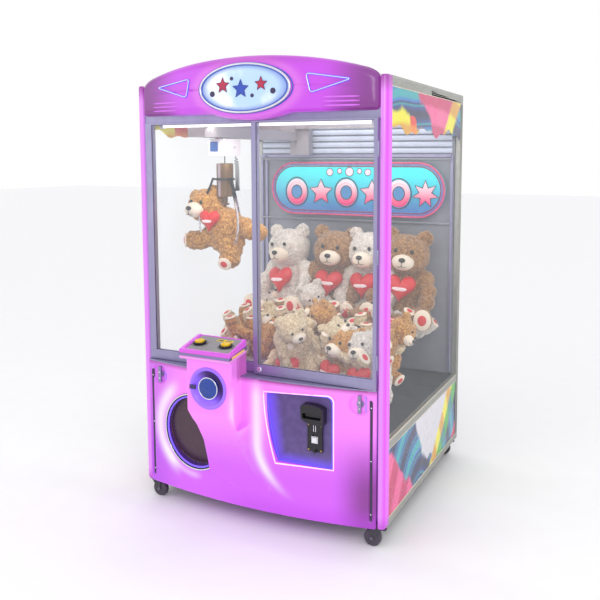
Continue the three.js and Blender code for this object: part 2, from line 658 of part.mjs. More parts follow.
// ---- marquee ----
function marqueeShell() {
  const outer = frontPrism(marqueeOutline(0), -100, 11.6, 10).intersect(planPrism(bowedPlan(0, null, 590), 1700, 2100));
  const skirt = block(-600, 600, -6, 20, 1700, 1812);
  const inner = frontPrism(marqueeOutline(8), -100, 30, 10)
    .intersect(planPrism(bowedPlan(8, null, 590), 1700, 2100).add(block(-600, 600, 0, 30, 1700, 2100)));
  return piece('marquee_shell', cut(outer, inner, skirt), glowPlastic);
}

function marqueeFace() {
  const oval = new THREE.Shape().absellipse(0, 1912, 215, 98, 0, 2 * Math.PI);
  const badge = frontPrism(oval, -120, 0, 18).intersect(planPrism(bowedPlan(-12, -GAP, 300), 1700, 2100));
  return piece('marquee_face', badge, whitePlastic);
}

// ---- casters ----
// Drawn for the right-hand side, with the wheel trailing inward and the brake pedal outward.
function casterFork() {
  const { wheel, width, trail, plate } = CASTER;
  const outerWidth = width / 2 + 5;
  const top = CABINET_BOTTOM - GAP;
  const mount = block(-18, 18, -18, 18, top - 3, top);
  const crown = block(-30, 20, -outerWidth, outerWidth, top - plate - 2, top - 2.5);
  const cheek = frontPrism(outline([[-trail - 9, 31], [-trail + 9, 31], [18, 79], [-29, 79]]), width / 2 + 1, outerWidth);
  const axle = rodY(-trail, -outerWidth - 1, outerWidth + 1, wheel, 5, 12);
  const pedal = block(15, HALF_WIDTH - CASTER.x - 1, -10, 10, top - plate - 2, top - plate + 3);
  return unite(crown, mount, cheek, cheek.mirror([0, 1, 0]), axle, pedal);
}

function casterWheel() {
  const { wheel, width, trail } = CASTER;
  const tread = rodY(-trail, -width / 2, width / 2, wheel, wheel, 24);
  return cut(tread, rodY(-trail, -30, 30, wheel, 5.6, 12));
}

function caster(corner, side, y) {
  const facing = (shape) => (side > 0 ? shape : shape.mirror([1, 0, 0]));
  const group = new THREE.Group();
  group.position.set(side * CASTER.x, y, 0);
  group.add(piece(`caster_fork_${corner}`, facing(casterFork()), darkSteel));
  group.add(piece(`caster_wheel_${corner}`, facing(casterWheel()), rubber));
  return group;
}

// ---- prizes ----
function prizeHeap() {
  const base = FLOOR_TOP + GAP;
  const right = sidePrism(outline([
    [HEAP.front, base], [HEAP.back, base], [HEAP.back, 800], [860, 790], [620, 720], [300, 700], [130, 745],
    [HEAP.front, 730],
  ]), -82, HEAP.side);
  const left = sidePrism(outline([[350, base], [HEAP.back, base], [HEAP.back, 800], [860, 790], [620, 700], [350, 640]]),
    -HEAP.side, -81);
  const sitters = DISPLAY_BEARS.flatMap((x) => [
    ball(x, 962, 930, 105, 88, 170),
    ball(x, 960, 1165, 88, 80, 100),
    ball(x - 80, 925, 840, 60, 80, 60),
    ball(x + 80, 925, 840, 60, 80, 60),
  ]);
  return piece('prize_heap', unite(right, left, ...sitters), creamPlush);
}

function heldBear() {
  const { x, y } = CLAW;
  const torso = ball(x + 5, y, 1285, 100, 92, 104);
  const head = ball(x - 108, y, 1395, 100, 88, 84);
  const feet = [ball(x + 60, y - 20, 1165, 66, 66, 80), ball(x - 100, y - 20, 1240, 88, 78, 66)];
  const arm = ball(x + 140, y, 1270, 84, 70, 62);
  const neck = ball(x - 50, y, 1320, 90, 80, 80);
  const plunger = rodZ(x, y, 1380, 1600, CLAW.radius + 3, 16);
  const slots = PRONG_ANGLES.map((angle) => {
    const wedge = frontPrism(outline([
      [44, 1183], [300, 1183], [300, 1700], [44, 1700], [44, 1400], [84, 1385], [108, 1345], [108, 1292], [94, 1250],
      [70, 1214], [50, 1203],
    ]), -PRONG_WIDTH / 2 - 2, PRONG_WIDTH / 2 + 2);
    return aroundClaw(wedge, angle);
  });
  const bear = cut(unite(torso, head, ...feet, arm, neck), plunger, ...slots);
  const cableWay = rodZ(CABLE.x, CABLE.y, CABLE.bottom - 20, 1700, CABLE.radius + 4, 12);
  return piece('held_bear', cut(bear, cableWay), goldenPlush);
}

// ---- assembly ----
const machine = new THREE.Group();
machine.add(basePlate(), frontFrame(), backPanel(), backWall(), backSign(), roofPanel(), playfieldFloor(), chuteDuct());
for (const [label, side] of [['left', -1], ['right', 1]]) {
  machine.add(piece(`light_post_${label}`, lightPost(side), glowPlastic));
  machine.add(piece(`side_frame_${label}`, sideFrame(side), railAluminium));
  machine.add(piece(`side_panel_${label}`, sideSheet(side, 118, 420, 6), graphicPanel));
  machine.add(piece(`side_glass_${label}`, sideSheet(side, GLASS_BOTTOM, SIDE_RAIL_TOP, 6), glass));
  machine.add(latch(`latch_${label}`, side));
}
machine.add(...doorMouldings(), doorSill(), chuteBezel(), chuteFlap(), columnDish());
machine.add(coinPlate(), readerHood(), coinMechPlate(), rejectButton());
machine.add(consoleRim(), controlPlate(), ...BUTTONS.map(button));
machine.add(...windowLeft(), ...windowRight(), windowLock());
machine.add(gantryFrame(), bridgeBeam(), trolleyBox(), winchDrum(), hoistCord(), curlyCable());
machine.add(clawSolenoid(), clawCrown(), ...PRONG_ANGLES.map((angle, i) => clawProng(`claw_prong_${i + 1}`, angle)));
machine.add(marqueeShell(), marqueeFace());
for (const [label, side, y] of [
  ['front_left', -1, CASTER.front], ['front_right', 1, CASTER.front],
  ['rear_left', -1, CASTER.back], ['rear_right', 1, CASTER.back],
]) {
  machine.add(caster(label, side, y));
}
machine.add(prizeHeap(), heldBear());
machine.position.y = -(DEPTH - CONSOLE_REACH) / 2;

export default machine;
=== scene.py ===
"""Looks of the claw crane machine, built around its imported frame. Metres, +Z up, the front faces -Y."""
import math
import random

import bmesh
import bpy
from mathutils import Matrix, Vector, noise


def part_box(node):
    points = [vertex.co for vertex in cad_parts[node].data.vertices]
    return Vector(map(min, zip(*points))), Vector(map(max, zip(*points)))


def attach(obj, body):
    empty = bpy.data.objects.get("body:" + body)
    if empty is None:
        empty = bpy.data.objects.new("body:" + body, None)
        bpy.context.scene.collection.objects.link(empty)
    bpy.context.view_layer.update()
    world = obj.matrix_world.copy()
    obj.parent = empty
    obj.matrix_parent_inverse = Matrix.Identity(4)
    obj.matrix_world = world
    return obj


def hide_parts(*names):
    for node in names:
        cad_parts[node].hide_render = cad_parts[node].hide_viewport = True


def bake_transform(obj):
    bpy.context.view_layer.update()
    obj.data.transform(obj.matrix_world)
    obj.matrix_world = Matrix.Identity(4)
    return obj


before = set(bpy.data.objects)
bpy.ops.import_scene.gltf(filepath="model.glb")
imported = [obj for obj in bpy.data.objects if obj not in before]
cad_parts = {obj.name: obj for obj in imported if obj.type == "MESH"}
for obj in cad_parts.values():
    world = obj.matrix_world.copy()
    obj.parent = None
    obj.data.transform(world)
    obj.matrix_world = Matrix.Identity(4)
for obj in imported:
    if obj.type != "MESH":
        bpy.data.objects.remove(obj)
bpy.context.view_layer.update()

MM = 0.001
FRONT_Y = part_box("light_post_right")[0].y
DOOR_HALF, DOOR_TOP = 575, 676
CHUTE_X, CHUTE_Z, CHUTE_RADIUS = -290, 385, 177
COLUMN_EDGE = -196
DISH_X, DISH_Z, DISH_FRONT = -87, 669, -235
CLAW_X, CLAW_Y = -350, 323
CONSOLE_TILT = math.atan2(18, 196)
BADGE_Z, BADGE_HALF_WIDTH, BADGE_HALF_HEIGHT = 1912, 215, 98
CAMERA_PLACE, CAMERA_ANGLES = (1.61873, -3.15776, 1.6237), (83.943, 0, 25.059)
CAMERA_LENS, CAMERA_SHIFT = 43.98, (-0.0446, -0.1069)


def at(x, y, z):
    """A point in millimetres: X from the middle, Y back from the front plane, Z from the floor."""
    return Vector((x * MM, FRONT_Y + y * MM, z * MM))


def door_front(x):
    """How far back the door's bowed face is, in millimetres."""
    return -65 + 57 * (x / DOOR_HALF) ** 2


# ---- camera and light ----
def camera():
    data = bpy.data.cameras.new("camera")
    data.sensor_width = 36
    data.lens = CAMERA_LENS
    data.shift_x, data.shift_y = CAMERA_SHIFT
    eye = bpy.data.objects.new("camera", data)
    eye.location = CAMERA_PLACE
    eye.rotation_euler = [math.radians(a) for a in CAMERA_ANGLES]
    bpy.context.collection.objects.link(eye)
    bpy.context.scene.camera = eye


def area_light(name, place, target, size, power, colour=(1, 1, 1)):
    data = bpy.data.lights.new(name, "AREA")
    data.shape = "RECTANGLE"
    data.size, data.size_y = size
    data.energy = power
    data.color = colour
    lamp = bpy.data.objects.new(name, data)
    lamp.location = place
    lamp.rotation_euler = (Vector(target) - Vector(place)).to_track_quat("-Z", "Y").to_euler()
    bpy.context.collection.objects.link(lamp)


def studio():
    scene = bpy.context.scene
    scene.view_settings.view_transform = "Standard"
    world = bpy.data.worlds.new("pale_room")
    world.use_nodes = True
    world.node_tree.nodes["Background"].inputs["Color"].default_value = (1.0, 1.0, 1.0, 1)
    world.node_tree.nodes["Background"].inputs["Strength"].default_value = 1.0
    scene.world = world
    middle = at(0, 400, 1000)
    area_light("key", at(1900, -2600, 2700), middle, (1.6, 1.6), 26)
    area_light("fill", at(-2600, -2200, 1900), middle, (2.0, 2.0), 8)
    inside = at(0, 500, 700)
    area_light("cabinet_light_front", at(0, 140, 1770), inside, (1.0, 0.06), 3.6, (1.0, 0.97, 0.9))
    area_light("cabinet_light_rear", at(0, 860, 1900), at(0, 900, 600), (1.0, 0.3), 3.0, (1.0, 0.98, 0.95))
    floor_mesh = bpy.data.meshes.new("floor")
    reach = 30
    floor_mesh.from_pydata([(-reach, -reach, 0), (reach, -reach, 0), (reach, reach, 0), (-reach, reach, 0)],
                           [],
                           [(0, 1, 2, 3)])
    floor = bpy.data.objects.new("floor", floor_mesh)
    bpy.context.collection.objects.link(floor)
    floor.data.materials.append(plain("floor_paint", "#f7f7f9", 0.8, amount=0.004, depth=0.00002))


# ---- materials ----
def paint(text):
    """A display colour such as #ff80ff as the renderer's linear colour."""
    parts = [int(text[i:i + 2], 16) / 255 for i in (1, 3, 5)]
    return tuple(c / 12.92 if c <= 0.04045 else ((c + 0.055) / 1.055) ** 2.4 for c in parts) + (1,)


class Recipe:
    """A material and the nodes that colour it."""

    def __init__(self, name, roughness=0.5, metallic=0.0):
        self.material = bpy.data.materials.new(name)
        self.material.use_nodes = True
        self.tree = self.material.node_tree
        self.shader = self.tree.nodes["Principled BSDF"]
        self.set("Roughness", roughness)
        self.set("Metallic", metallic)
        self.point = self.node("ShaderNodeTexCoord").outputs["Object"]

    def node(self, kind, inputs=None, **settings):
        made = self.tree.nodes.new(kind)
        for key, value in settings.items():
            setattr(made, key, value)
        for key, value in (inputs or {}).items():
            self.feed(made.inputs[key], value)
        return made

    def feed(self, socket, value):
        if isinstance(value, bpy.types.NodeSocket):
            self.tree.links.new(value, socket)
        else:
            socket.default_value = value

    def set(self, socket, value):
        self.feed(self.shader.inputs[socket], value)

    def math(self, operation, a, b=0.0, clamp=False):
        return self.node("ShaderNodeMath", {0: a, 1: b}, operation=operation, use_clamp=clamp).outputs[0]

    def times(self, a, b):
        return self.math("MULTIPLY", a, b)

    def plus(self, a, b, clamp=False):
        return self.math("ADD", a, b, clamp)

    def minus(self, a, b):
        return self.math("SUBTRACT", a, b)

    def axes(self):
        """X, Y and Z in millimetres of the cabinet."""
        split = self.node("ShaderNodeSeparateXYZ", {0: self.point})
        x = self.times(split.outputs[0], 1000)
        y = self.times(self.minus(split.outputs[1], FRONT_Y), 1000)
        z = self.times(split.outputs[2], 1000)
        return x, y, z

    def fade(self, value, low, high):
        """0 below low and 1 above high, or the other way round where low is the larger."""
        made = self.node("ShaderNodeMapRange", {0: value, 1: low, 2: high, 3: 0.0, 4: 1.0},
                         interpolation_type="SMOOTHSTEP")
        return made.outputs[0]

    def band(self, value, centre, width):
        """1 at the centre, falling off smoothly over the width."""
        away = self.math("DIVIDE", self.minus(value, centre), width)
        return self.math("EXPONENT", self.times(self.math("POWER", away, 2.0), -1.0))

    def reach(self, across, up, half_width=1, half_height=1):
        """The distance from a centre, as a share of an oval's half width and half height."""
        squares = [self.math("POWER", self.math("DIVIDE", a, b), 2.0) for a, b in ((across, half_width),
                                                                                     (up, half_height))]
        return self.math("SQRT", self.plus(*squares))

    def mix(self, share, a, b):
        made = self.node("ShaderNodeMix", {"Factor": share}, data_type="RGBA")
        self.feed(made.inputs[6], a)
        self.feed(made.inputs[7], b)
        return made.outputs[2]

    def noise(self, scale, detail=2.0, stretch=(1, 1, 1), distortion=0.0):
        where = self.node("ShaderNodeMapping", {"Vector": self.point, "Scale": stretch}).outputs[0]
        return self.node("ShaderNodeTexNoise", {"Vector": where, "Scale": scale, "Detail": detail,
                                                "Distortion": distortion}).outputs[0]

    def mottle(self, colour, amount, scale):
        """The colour, a little lighter and darker from place to place."""
        dark = tuple(c * (1 - amount) for c in colour[:3]) + (1,)
        light = tuple(min(1, c * (1 + amount)) for c in colour[:3]) + (1,)
        return self.mix(self.fade(self.noise(scale), 0.35, 0.65), dark, light)

    def roughen(self, low, high, scale):
        spread = self.node("ShaderNodeMapRange", {0: self.noise(scale), 1: 0.3, 2: 0.7, 3: low, 4: high})
        self.set("Roughness", spread.outputs[0])

    def bump(self, height, depth, strength=1.0):
        made = self.node("ShaderNodeBump", {"Height": height, "Distance": depth, "Strength": strength})
        self.set("Normal", made.outputs[0])

    def glow(self, colour, strength=1.0):
        self.set("Emission Color", colour)
        self.set("Emission Strength", strength)


MATERIALS = {}


def plain(name, colour, roughness, metallic=0.0, grain=300, depth=0.0001, amount=0.06):
    """A paint, plastic or metal with a fine grain, slight colour change and uneven gloss."""
    if name not in MATERIALS:
        recipe = Recipe(name, roughness, metallic)
        recipe.set("Base Color", recipe.mottle(paint(colour), amount, 9))
        recipe.roughen(max(0.02, roughness - 0.08), roughness + 0.08, 30)
        recipe.bump(recipe.noise(grain, 3), depth, 0.4)
        MATERIALS[name] = recipe.material
    return MATERIALS[name]


def brushed(name, colour, roughness, stretch):
    """Metal with fine drawn lines along one axis."""
    if name not in MATERIALS:
        recipe = Recipe(name, roughness, 0.75)
        lines = recipe.noise(40, 4, stretch)
        recipe.set("Base Color", recipe.mix(lines, tuple(c * 0.86 for c in paint(colour)[:3]) + (1,),
                                            paint(colour)))
        recipe.roughen(roughness - 0.06, roughness + 0.1, 24)
        recipe.bump(lines, 0.0002, 0.3)
        MATERIALS[name] = recipe.material
    return MATERIALS[name]


def chrome():
    return brushed("chrome", "#e6e6ee", 0.12, (1, 1, 1))


def aluminium():
    return brushed("frame_aluminium", "#a39fc0", 0.4, (1, 1, 0.08))


def rail_alloy():
    return brushed("rail_aluminium", "#b9b9b4", 0.42, (1, 0.08, 1))


def black_plastic():
    return plain("black_plastic", "#1a181f", 0.4)


def clear(name, colour, alpha):
    if name not in MATERIALS:
        recipe = Recipe(name, 0.04)
        recipe.set("Base Color", recipe.mottle(paint(colour), 0.03, 3))
        recipe.set("Alpha", alpha)
        recipe.roughen(0.02, 0.09, 6)
        MATERIALS[name] = recipe.material
    return MATERIALS[name]


def lit(name, recipe, colour, strength=0.8, body=0.3):
    """Finishes a translucent moulding lit from behind: the colour glows, and shows by daylight. The colours
    passed in also carry painted highlights and painted shade, which glow with them.
    """
    dull = recipe.node("ShaderNodeMix", {"Factor": body}, data_type="RGBA")
    recipe.feed(dull.inputs[6], (0.02, 0.0, 0.03, 1))
    recipe.feed(dull.inputs[7], colour)
    recipe.set("Base Color", dull.outputs[2])
    recipe.glow(colour, strength)
    recipe.set("Coat Weight", 0.35)
    recipe.set("Coat Roughness", 0.12)
    recipe.bump(recipe.noise(260, 3), 0.0001, 0.25)
    MATERIALS[name] = recipe.material
    return recipe.material


def door_glow():
    recipe = Recipe("door_glow", 0.32)
    x, y, z = recipe.axes()
    violet, magenta, purple = paint("#dc62ff"), paint("#ff8cff"), paint("#8f3799")
    colour = recipe.mix(recipe.fade(z, 560, 240), magenta, violet)
    colour = recipe.mix(recipe.times(recipe.fade(x, -330, -575), 0.55), colour, paint("#a53be0"))
    # Painted shade: darker purple towards the lower right corner.
    corner = recipe.times(recipe.fade(x, 380, 540), recipe.fade(z, 520, 230))
    colour = recipe.mix(corner, colour, purple)
    # Painted shade: darker violet low down, left of the middle.
    low = recipe.times(recipe.fade(z, 190, 96), recipe.fade(x, -250, 60))
    colour = recipe.mix(recipe.times(low, 0.5), colour, paint("#c040ea"))
    # Painted shade: darker along the door's top front edge.
    top_edge_shade = recipe.times(recipe.fade(z, 655, 676), recipe.fade(y, -140, -100))
    colour = recipe.mix(recipe.times(top_edge_shade, 0.6), colour, paint("#a23a90"))
    # Painted highlights: a pale ring just outside the chute, on its left and below it, and a pale sweep
    # curving down left of the coin recess. They glow with the moulding.
    ring = recipe.reach(recipe.minus(x, CHUTE_X), recipe.minus(z, CHUTE_Z))
    chute_highlight = recipe.times(recipe.band(ring, CHUTE_RADIUS + 38, 30), recipe.fade(x, -360, -450))
    low_chute_highlight = recipe.times(recipe.band(ring, CHUTE_RADIUS + 26, 16),
                           recipe.times(recipe.fade(z, 330, 230), recipe.fade(x, -240, -300)))
    shift = recipe.math("POWER", recipe.math("MAXIMUM", recipe.minus(400, z), 0.0), 2.0)
    line = recipe.minus(x, recipe.times(shift, 0.0028))
    swoosh_highlight = recipe.times(recipe.band(line, 44, 26),
                        recipe.times(recipe.fade(z, 150, 300), recipe.fade(z, 700, 590)))
    painted_highlight = recipe.plus(recipe.times(chute_highlight, 0.85), recipe.times(low_chute_highlight, 0.4))
    painted_highlight = recipe.plus(painted_highlight, recipe.times(swoosh_highlight, 0.95), clamp=True)
    colour = recipe.mix(painted_highlight, colour, paint("#fff0ff"))
    return lit("door_glow", recipe, colour, 0.64)


def console_glow():
    recipe = Recipe("console_glow", 0.3)
    _, _, z = recipe.axes()
    colour = recipe.mix(recipe.fade(z, 790, 845), paint("#ff6cf6"), paint("#e85cf4"))
    # Painted highlight: a pale line along the rounded edge at 796 mm.
    colour = recipe.mix(recipe.times(recipe.band(z, 796, 5), 0.4), colour, paint("#fff0ff"))
    return lit("console_glow", recipe, colour, 0.52)


def marquee_glow():
    recipe = Recipe("marquee_glow", 0.3)
    x, _, z = recipe.axes()
    out = recipe.math("ABSOLUTE", x)
    # Painted shade: darker purple towards the outer ends and at the lower outer corners.
    colour = recipe.mix(recipe.fade(out, 330, 540), paint("#e056ff"), paint("#93409c"))
    lower = recipe.times(recipe.fade(z, 1900, 1825), recipe.fade(out, 330, 470))
    colour = recipe.mix(recipe.times(lower, 0.6), colour, paint("#8d3a8e"))
    # Painted highlight: a paler pink ring round the badge.
    ring = recipe.reach(x, recipe.minus(z, BADGE_Z), 238, 118)
    colour = recipe.mix(recipe.times(recipe.band(ring, 1.02, 0.12), 0.55), colour, paint("#ff90ff"))
    # Painted shade: darker along the crest.
    crest_shade = recipe.times(recipe.fade(z, 1985, 2040), 0.5)
    colour = recipe.mix(crest_shade, colour, paint("#b848b8"))
    return lit("marquee_glow", recipe, colour, 0.5)


def post_glow(side):
    name = f"post_glow_{side}"
    recipe = Recipe(name, 0.3)
    x, _, z = recipe.axes()
    # Painted highlight: the front face paler pink than the rounded outer side.
    edge = recipe.fade(recipe.math("ABSOLUTE", x), 594, 608)
    colour = recipe.mix(edge, paint("#ee92ff"), paint("#f25cff"))
    # Painted shade: darker at the top and at the bottom.
    colour = recipe.mix(recipe.fade(z, 1870, 1945), colour, paint("#b24cb4"))
    colour = recipe.mix(recipe.times(recipe.fade(z, 150, 92), 0.7), colour, paint("#c040dc"))
    return lit(name, recipe, colour, 0.6)


# Glowing materials, both for real lamps and for parts whose glow is painted light, such as the coin recess
# lip and the amber reflector.
def lamp_and_painted_glow(name, colour, strength):
    if name not in MATERIALS:
        recipe = Recipe(name, 0.3)
        recipe.set("Base Color", recipe.mottle(paint(colour), 0.05, 20))
        recipe.glow(recipe.mottle(paint(colour), 0.08, 12), strength)
        MATERIALS[name] = recipe.material
    return MATERIALS[name]


def fur(name, colour, tip):
    """Long pile plush: darker between the tufts and pale at the tips."""
    if name not in MATERIALS:
        recipe = Recipe(name, 0.95)
        tufts = recipe.noise(95, 5, distortion=1.2)
        patch = recipe.mottle(paint(colour), 0.14, 8)
        recipe.set("Base Color", recipe.mix(recipe.fade(tufts, 0.42, 0.62), patch, paint(tip)))
        recipe.set("Sheen Weight", 0.35)
        recipe.set("Sheen Roughness", 0.5)
        recipe.bump(recipe.noise(330, 6, (1, 1, 0.45), 0.8), 0.004, 0.9)
        MATERIALS[name] = recipe.material
    return MATERIALS[name]


def printed_side(name, upper):
    """A laminate printed with loose swirls of colour."""
    recipe = Recipe(name, 0.28)
    _, y, z = recipe.axes()
    warp = recipe.times(recipe.minus(recipe.noise(3.4, 3), 0.5), 260)
    along = recipe.plus(y, warp)
    rise = recipe.plus(z, recipe.times(warp, 0.6))
    base = 1717 if upper else 118
    height = recipe.minus(rise, base)
    swirl = recipe.node("ShaderNodeTexWave", {"Vector": recipe.point, "Scale": 1.7, "Distortion": 5.5,
                                              "Detail": 1.0,
                                              "Detail Scale": 0.7}, wave_type="RINGS",
                        rings_direction="X").outputs[1]
    ramp = recipe.node("ShaderNodeValToRGB", {0: swirl})
    ramp.color_ramp.interpolation = "EASE"
    stops = [(0.0, "#030a4a"), (0.28, "#063a8c"), (0.45, "#0093a4"), (0.6, "#08236e"), (0.76, "#1478c4"),
             (1.0, "#08a8b0")]
    while len(ramp.color_ramp.elements) < len(stops):
        ramp.color_ramp.elements.new(0.5)
    for element, (place, colour) in zip(ramp.color_ramp.elements, stops):
        element.position = place
        element.color = paint(colour)
    blues = ramp.outputs[0]
    yellow = recipe.mix(recipe.fade(swirl, 0.2, 0.8), paint("#f4ea12"), paint("#e0a010"))
    pink = recipe.mix(recipe.fade(swirl, 0.25, 0.75), paint("#f5559a"), paint("#cf1468"))
    red = recipe.mix(recipe.fade(swirl, 0.3, 0.8), paint("#e8301a"), paint("#f58a18"))
    green = recipe.mix(recipe.fade(swirl, 0.3, 0.8), paint("#3cae3a"), paint("#0a8a86"))
    if upper:
        sunny = recipe.fade(recipe.minus(recipe.plus(height, recipe.times(along, 0.28)),
                                        150), 22, -8)
        colour = recipe.mix(sunny, blues, yellow)
        flame = recipe.times(recipe.band(along, 330, 70), recipe.fade(height, 110, 70))
        colour = recipe.mix(recipe.fade(flame, 0.45, 0.6), colour, red)
        colour = recipe.mix(recipe.fade(recipe.plus(along, recipe.times(height, 0.8)), 560, 600),
                            colour, pink)
        colour = recipe.mix(recipe.fade(recipe.minus(along, height), 760, 800), colour, yellow)
        colour = recipe.mix(recipe.fade(recipe.minus(along, height), 900, 940), colour, blues)
    else:
        colour = paint("#dcd9e2")
        front = recipe.plus(recipe.times(along, 0.62), recipe.times(height, 0.8))
        colour = recipe.mix(recipe.fade(front, 470, 445), colour, blues)
        colour = recipe.mix(recipe.fade(front, 270, 245), colour, pink)
        rear = recipe.minus(recipe.times(along, 0.9), recipe.times(height, 0.9))
        colour = recipe.mix(recipe.fade(rear, 560, 585), colour, yellow)
        colour = recipe.mix(recipe.fade(rear, 660, 690), colour, green)
        colour = recipe.mix(recipe.fade(rear, 760, 790), colour, blues)
        colour = recipe.mix(recipe.fade(rear, 900, 925), colour, pink)
    recipe.set("Base Color", colour)
    recipe.set("Coat Weight", 0.3)
    recipe.roughen(0.22, 0.34, 12)
    MATERIALS[name] = recipe.material
    return recipe.material


def sign_print():
    recipe = Recipe("sign_print", 0.3)
    _, _, z = recipe.axes()
    colour = recipe.mix(recipe.fade(z, 1320, 1590), paint("#2d6fb4"), paint("#2ff2f4"))
    cloud = recipe.fade(recipe.noise(5, 3), 0.55, 0.7)
    colour = recipe.mix(recipe.times(cloud, 0.35), colour, paint("#58c4f0"))
    recipe.set("Base Color", colour)
    recipe.glow(colour, 0.18)
    recipe.set("Coat Weight", 0.2)
    MATERIALS["sign_print"] = recipe.material
    return recipe.material


def badge_print():
    """The marquee's oval: a pale sky that darkens to blue at its rim."""
    recipe = Recipe("badge_print", 0.25)
    x, _, z = recipe.axes()
    out = recipe.reach(x, recipe.minus(z, BADGE_Z), BADGE_HALF_WIDTH, BADGE_HALF_HEIGHT)
    sky = recipe.mix(recipe.fade(recipe.noise(7, 3), 0.35, 0.65), paint("#e9eefb"), paint("#a9c4ea"))
    colour = recipe.mix(recipe.fade(out, 0.72, 0.97), sky, paint("#7f94c8"))
    recipe.set("Base Color", colour)
    recipe.glow(colour, 0.25)
    MATERIALS["badge_print"] = recipe.material
    return recipe.material


# ---- meshes ----
def around(steps):
    """Angles evenly round a circle."""
    return [2 * math.pi * k / steps for k in range(steps)]


class Build:
    """Collects closed shapes into one mesh. A slot is a place in the piece's list of materials."""

    def __init__(self):
        self.bm = bmesh.new()

    def face(self, corners, slot):
        made = self.bm.faces.new(corners)
        made.material_index = slot
        made.smooth = True

    def bridge(self, rings, slot, closed=True):
        """Joins rings of vertices in turn. A ring of one vertex is a tip."""
        for low, high in zip(rings, rings[1:]):
            count = max(len(low), len(high))
            for i in range(count if closed else count - 1):
                j = (i + 1) % count
                corners = [low[i % len(low)], low[j % len(low)], high[j % len(high)], high[i % len(high)]]
                self.face(list(dict.fromkeys(corners)), slot)

    def rings(self, loops, slot=0):
        """A closed skin over loops of points, capped at both ends."""
        made = [[self.bm.verts.new(p) for p in loop] for loop in loops]
        self.bridge(made, slot)
        if len(made[0]) > 1:
            self.face(made[0][::-1], slot)
        if len(made[-1]) > 1:
            self.face(made[-1], slot)

    def block(self, low, high, slot=0, turn=None):
        low, high = Vector(low), Vector(high)
        middle = (low + high) / 2
        corners = []
        for z in (low.z, high.z):
            corners.append([Vector((x, y, z)) for x, y in ((low.x, low.y), (high.x, low.y), (high.x, high.y),
                                                           (low.x, high.y))])
        if turn is not None:
            corners = [[middle + turn @ (p - middle) for p in loop] for loop in corners]
        self.rings(corners, slot)

    def turned(self, profile, base, axis=(0, 0, 1), sides=32, slot=0):
        """A shape turned about an axis, from (radius, height) pairs in millimetres."""
        turn = Vector((0, 0, 1)).rotation_difference(Vector(axis).normalized()).to_matrix()
        rings = []
        for radius, height in ((r * MM, h * MM) for r, h in profile):
            angles = around(sides)[:1 if radius == 0 else sides]
            ring = [Vector((radius * math.cos(a), radius * math.sin(a), height)) for a in angles]
            rings.append([self.bm.verts.new(Vector(base) + turn @ p) for p in ring])
        self.bridge(rings, slot)

    def tube(self, line, radius, sides=10, slot=0, closed=False):
        """A round bar along a line of points. The radius may be a list, one for each point."""
        line = [Vector(p) for p in line]
        last = len(line) - 1
        side = None
        loops = []
        for i, point in enumerate(line):
            before = line[(i - 1) % len(line)] if closed else line[max(i - 1, 0)]
            after = line[(i + 1) % len(line)] if closed else line[min(i + 1, last)]
            ahead = (after - before).normalized()
            if side is None:
                side = ahead.orthogonal()
            side = (side - ahead * side.dot(ahead)).normalized()
            other = ahead.cross(side)
            size = radius[i] if isinstance(radius, list) else radius
            loops.append([point + (side * math.cos(a) + other * math.sin(a)) * size
                          for a in (2 * math.pi * k / sides for k in range(sides))])
        if closed:
            made = [[self.bm.verts.new(p) for p in loop] for loop in loops]
            self.bridge(made + made[:1], slot)
        else:
            self.rings(loops, slot)

    def ball(self, centre, radii, slot=0, turn=None, sides=20, rows=12):
        scale = Matrix.Diagonal(Vector(radii)).to_4x4()
        spin = (turn or Matrix.Identity(3)).to_4x4()
        made = bmesh.ops.create_uvsphere(self.bm, u_segments=sides, v_segments=rows, radius=1,
                                         matrix=Matrix.Translation(centre) @ spin @ scale)
        for face in {f for v in made["verts"] for f in v.link_faces}:
            face.material_index = slot
            face.smooth = True

    def slab(self, outline, front, back, slot=0):
        """A flat shape in X and Z millimetres between two depths, with a bevelled front edge."""
        middle = sum((Vector(p) for p in outline), Vector((0, 0))) / len(outline)
        loops = []
        for share, depth in ((1, back), (1, front + 0.8), (0.985, front)):
            loops.append([at(middle.x + (p[0] - middle.x) * share, depth,
                             middle.y + (p[1] - middle.y) * share)
                          for p in outline])
        self.rings(loops, slot)

    def finish(self, name, body, materials, bevel=0.0, sharp=40):
        bmesh.ops.recalc_face_normals(self.bm, faces=self.bm.faces)
        mesh = bpy.data.meshes.new(name)
        self.bm.to_mesh(mesh)
        self.bm.free()
        return piece(name, mesh, body, materials, bevel, sharp)


def piece(name, mesh, body, materials, bevel=0.0, sharp=40):
    made = bpy.data.objects.new(name, mesh)
    bpy.context.collection.objects.link(made)
    if mesh.materials:
        mesh.materials.clear()
    for material in materials:
        mesh.materials.append(material)
    mesh.set_sharp_from_angle(angle=math.radians(sharp))
    if bevel:
        edge = made.modifiers.new("edges", "BEVEL")
        edge.width = bevel
        edge.segments = 3
        edge.limit_method = "ANGLE"
        edge.angle_limit = math.radians(sharp)
        edge.harden_normals = True
    if body:
        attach(made, body)
    return made


def settled(made):
    """The object with its modifiers applied."""
    graph = bpy.context.evaluated_depsgraph_get()
    mesh = bpy.data.meshes.new_from_object(made.evaluated_get(graph))
    made.modifiers.clear()
    made.data = mesh
    return made


def skin(mesh, voxel, rounds):
    """One smooth closed surface over the mesh, with its edges rounded."""
    draft = bpy.data.objects.new("draft", mesh)
    bpy.context.collection.objects.link(draft)
    cover = draft.modifiers.new("cover", "REMESH")
    cover.mode = "VOXEL"
    cover.voxel_size = voxel
    soften = draft.modifiers.new("soften", "SMOOTH")
    soften.factor = 0.5
    soften.iterations = rounds
    settled(draft)
    mesh = draft.data
    bpy.data.objects.remove(draft)
    mesh.polygons.foreach_set("use_smooth", [True] * len(mesh.polygons))
    return mesh


